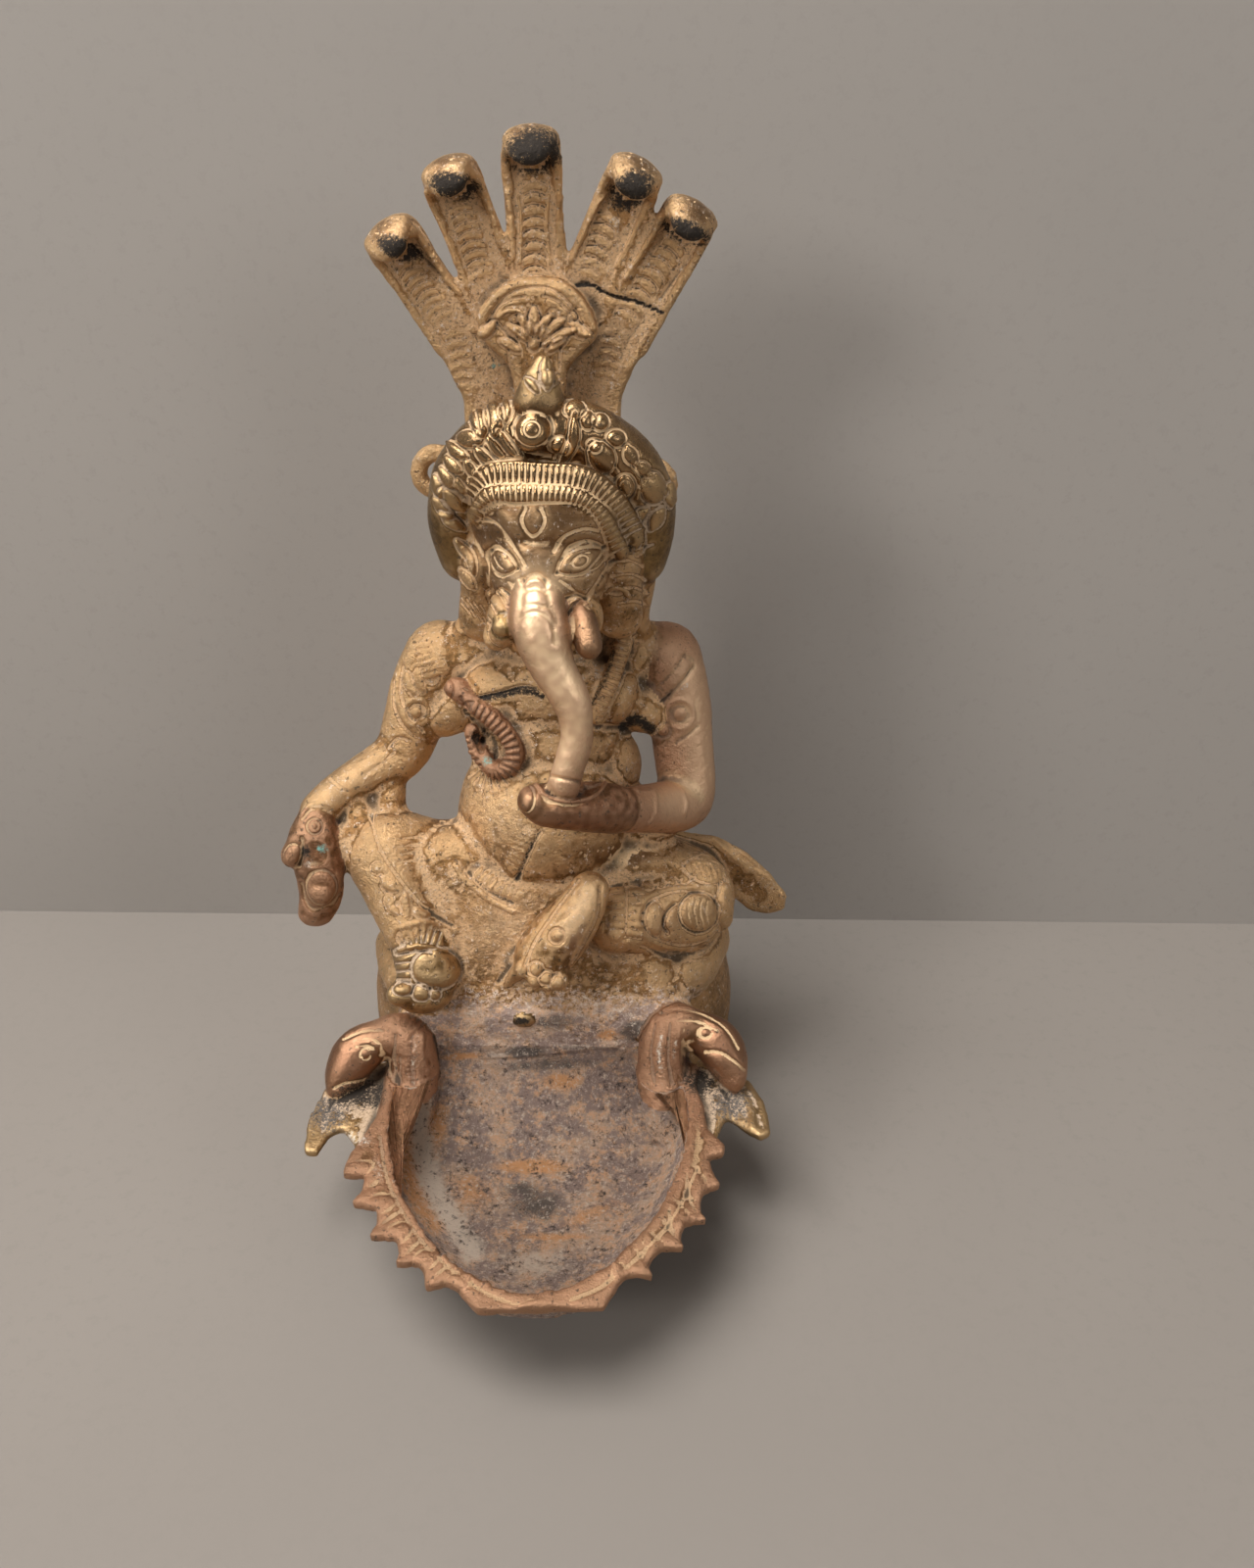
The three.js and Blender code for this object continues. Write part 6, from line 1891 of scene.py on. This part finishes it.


# the near-black crevice colour is painted shade, the light worn colour also serves as a painted sheen, and the
# brown is set darker than bare bronze as a painted dark reflection
coatColours = {
    "copper": (0.19, 0.08, 0.042), "darkDust": (0.27, 0.175, 0.095), "chalk": (0.70, 0.62, 0.52),
    "soot": (0.10, 0.085, 0.075),
    "creviceShade": (0.022, 0.014, 0.008), "verdigris": (0.24, 0.50, 0.44), "brown": (0.205, 0.115, 0.055),
    "groove": (0.86, 0.60, 0.34), "rubbed": (0.86, 0.60, 0.36), "ashPurple": (0.40, 0.285, 0.24),
    "ashBrown": (0.66, 0.46, 0.33), "ashOrange": (0.78, 0.48, 0.29), "heatOrange": (0.80, 0.42, 0.19),
    "ash": (0.82, 0.68, 0.55), "char": (0.07, 0.05, 0.042), "charcoal": (0.155, 0.12, 0.10),
}
brassLooks = {
    "brass": {"metal": (0.43, 0.24, 0.10), "bright": (0.84, 0.56, 0.30), "shade": (0.16, 0.086, 0.032),
              "dust": (0.69, 0.435, 0.23), "dustiness": 0.34, "bareRoughness": 0.43, "grain": 0.42},
    "dark_brass": {"metal": (0.27, 0.165, 0.065), "bright": (0.68, 0.46, 0.24), "shade": (0.12, 0.07, 0.03),
                   "dust": (0.55, 0.40, 0.27), "dustiness": 0.25, "bareRoughness": 0.33, "grain": 0.2},
    "copper_brass": {"metal": (0.33, 0.165, 0.09), "bright": (0.58, 0.34, 0.21), "shade": (0.16, 0.078, 0.034),
                     "dust": (0.29, 0.165, 0.10), "dustiness": 0.12, "bareRoughness": 0.46, "grain": 0.38},
}


def newMaterial(name):
    made = bpy.data.materials.new(name)
    made.use_nodes = True
    return made, made.node_tree, made.node_tree.nodes["Principled BSDF"]


def metalMaterial(name, look):
    made, tree, shader = newMaterial(name)
    relief = useGroup(tree, "castRelief")
    relief.inputs["Dustiness"].default_value = look["dustiness"]
    coat = useGroup(tree, "agedCoat")
    for key, value in (("Metal", "metal"), ("Bright", "bright"), ("Shade", "shade"), ("Dust Colour", "dust")):
        coat.inputs[key].default_value = (*look[value], 1)
    for key in reliefMasks:
        tree.links.new(relief.outputs[key], coat.inputs[key])
    colour, bare = coat.outputs["Colour"], coat.outputs["Bare"]
    if name == "brass":
        burnt = useGroup(tree, "burntCrust")
        share = ramp(tree, plus(tree, attribute(tree, "burnt"), times(
            tree, minus(tree, burnt.outputs["Height"], 0.85), 3.0)), 0.35, 0.65)
        colour = mixed(tree, share, colour, burnt.outputs["Colour"])
        bare = times(tree, bare, minus(tree, 1.0, share), True)
    calm = plus(tree, times(tree, bare, 0.6), times(tree, coat.outputs["Polish"], 1.0))
    bump = useGroup(tree, "castGrain", {"Depth": look["grain"], "Bare": calm})
    tree.links.new(colour, shader.inputs["Base Color"])
    # less metallic where the metal is worn bright or carries a painted sheen, so that the light colour shows
    metallic = minus(tree, 0.95, times(tree, attribute(tree, "rubbed"), 0.4), True)
    tree.links.new(times(tree, bare, metallic), shader.inputs["Metallic"])
    rough = plus(tree, ramp(tree, bare, 0, 1, (0.8, look["bareRoughness"])),
                  times(tree, minus(tree, relief.outputs["Grit"], 0.5), 0.3), True)
    rough = minus(tree, rough, times(tree, coat.outputs["Polish"], 0.12), True)
    tree.links.new(rough, shader.inputs["Roughness"])
    tree.links.new(bump.outputs["Normal"], shader.inputs["Normal"])
    return made


def burntMaterial(name):
    made, tree, shader = newMaterial(name)
    crust = useGroup(tree, "burntCrust")
    tree.links.new(crust.outputs["Colour"], shader.inputs["Base Color"])
    bump = add(tree, "ShaderNodeBump", {"Height": crust.outputs["Height"], "Distance": 0.0025})
    tree.links.new(bump.outputs["Normal"], shader.inputs["Normal"])
    shader.inputs["Metallic"].default_value = 0.25
    tree.links.new(ramp(tree, crust.outputs["Smooth"], 0, 1, (0.75, 0.5)), shader.inputs["Roughness"])
    return made


reliefGroup()
coatGroup()
burntGroup()
grainGroup()
finishes = {name: metalMaterial(name, look) for name, look in brassLooks.items()}
finishes["burnt_pan"] = burntMaterial("burnt_pan")
slots = {row["node"]: row["material_slot"] for row in frame["record"]["subparts"]}
print("finishes:", len(finishes))

for label, node in enumerate(nodes):
    mesh, used = pieceMesh(label)
    closePiece(node, mesh, used, node in shellNodes)
    if node == "stand":
        mesh = hollowOut(mesh)
    mesh.polygons.foreach_set("use_smooth", [True] * len(mesh.polygons))
    own, on = waxVertices(mesh, used)
    keep = np.zeros((len(mesh.vertices), 3), np.float32)
    keep[on] = normals[own[on]]
    mesh.normals_split_custom_set_from_vertices(keep.tolist())
    for key, values in marks.items():
        values = np.where(on, values[own], values.mean())
        mesh.attributes.new(key, "FLOAT", "POINT").data.foreach_set("value", values.astype(np.float32))
    mesh.transform(toFrame)
    inside = np.clip(numbers(mesh.vertices, "co", 3), list(cadBounds[0]), list(cadBounds[1]))
    mesh.vertices.foreach_set("co", inside.astype(np.float32).ravel())
    mesh.materials.append(finishes[slots[node]])
    piece = inScene(node + "_casting", mesh)
    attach(piece, "root")
    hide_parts(node)

camera = inScene("camera", bpy.data.cameras.new("camera"))
camera.data.lens = cameraValues["lens"]
camera.data.sensor_width = cameraValues["sensor"]
camera.data.sensor_fit = "HORIZONTAL"
camera.data.clip_start = 0.01
camera.matrix_world = Matrix.Translation(toFrame @ Vector(cameraValues["place"])) @ cameraTurn.to_4x4()
bpy.context.scene.camera = camera

stage = {"floor": (0.24, 0.212, 0.187), "wall": (0.345, 0.315, 0.287), "wallBehind": 50, "reach": 1.5,
         "height": 0.9}


def stagePlane(name, place, turn, colour, oneSided=False):
    bm = bmesh.new()
    bmesh.ops.create_grid(bm, x_segments=1, y_segments=1, size=stage["reach"])
    bmesh.ops.transform(bm, matrix=Matrix.LocRotScale(Vector(place), Euler(turn), None), verts=bm.verts)
    plane = inScene(name, meshOf(bm, name))
    made, tree, shader = newMaterial(name)
    where = add(tree, "ShaderNodeTexCoord").outputs["Object"]
    cloud = plus(tree, ramp(tree, grain(tree, where, 4.0, 3), 0.3, 0.7),
                  ramp(tree, grain(tree, where, 300.0, 5, 0.8), 0.52, 0.66))
    tree.links.new(mixed(tree, cloud, colour, tuple(c * 0.93 for c in colour)), shader.inputs["Base Color"])
    shader.inputs["Roughness"].default_value = 0.8
    if oneSided:
        behind = add(tree, "ShaderNodeNewGeometry").outputs["Backfacing"]
        clear = add(tree, "ShaderNodeBsdfTransparent")
        choice = add(tree, "ShaderNodeMixShader", {0: behind, 1: shader.outputs[0], 2: clear.outputs[0]})
        tree.links.new(choice.outputs[0], tree.nodes["Material Output"].inputs["Surface"])
    plane.data.materials.append(made)


stagePlane("floor", (0, 0, 0), (0, 0, 0), stage["floor"])
stagePlane("wall", (0, (standAxis.y + stage["wallBehind"] * 0.001), stage["reach"] - 0.001),
           (math.pi / 2, 0, 0), stage["wall"], True)
lamps = {
    "sky": {"place": (-0.3, -0.12, 1.0), "size": 0.6, "power": 15, "colour": (1, 0.99, 0.97)},
    "window": {"place": (-0.9, -0.8, 0.7), "size": 0.35, "power": 7, "colour": (1, 0.98, 0.95)},
    "fill": {"place": (0.9, -0.7, 0.6), "size": 0.5, "power": 3, "colour": (1, 0.99, 0.98)},
}
for name, lamp in lamps.items():
    light = inScene(name, bpy.data.lights.new(name, "AREA"))
    light.data.size, light.data.energy, light.data.color = lamp["size"], lamp["power"], lamp["colour"]
    light.location = lamp["place"]
    light.rotation_euler = (Vector((0, 0, 0.1)) - Vector(lamp["place"])).to_track_quat("-Z", "Y").to_euler()
worldLook = {"colour": (0.75, 0.74, 0.73, 1), "strength": 0.17}
world = bpy.data.worlds.new("studio")
bpy.context.scene.world = world
world.use_nodes = True
world.node_tree.nodes["Background"].inputs["Color"].default_value = worldLook["colour"]
world.node_tree.nodes["Background"].inputs["Strength"].default_value = worldLook["strength"]
bpy.context.scene.view_settings.view_transform = "Standard"
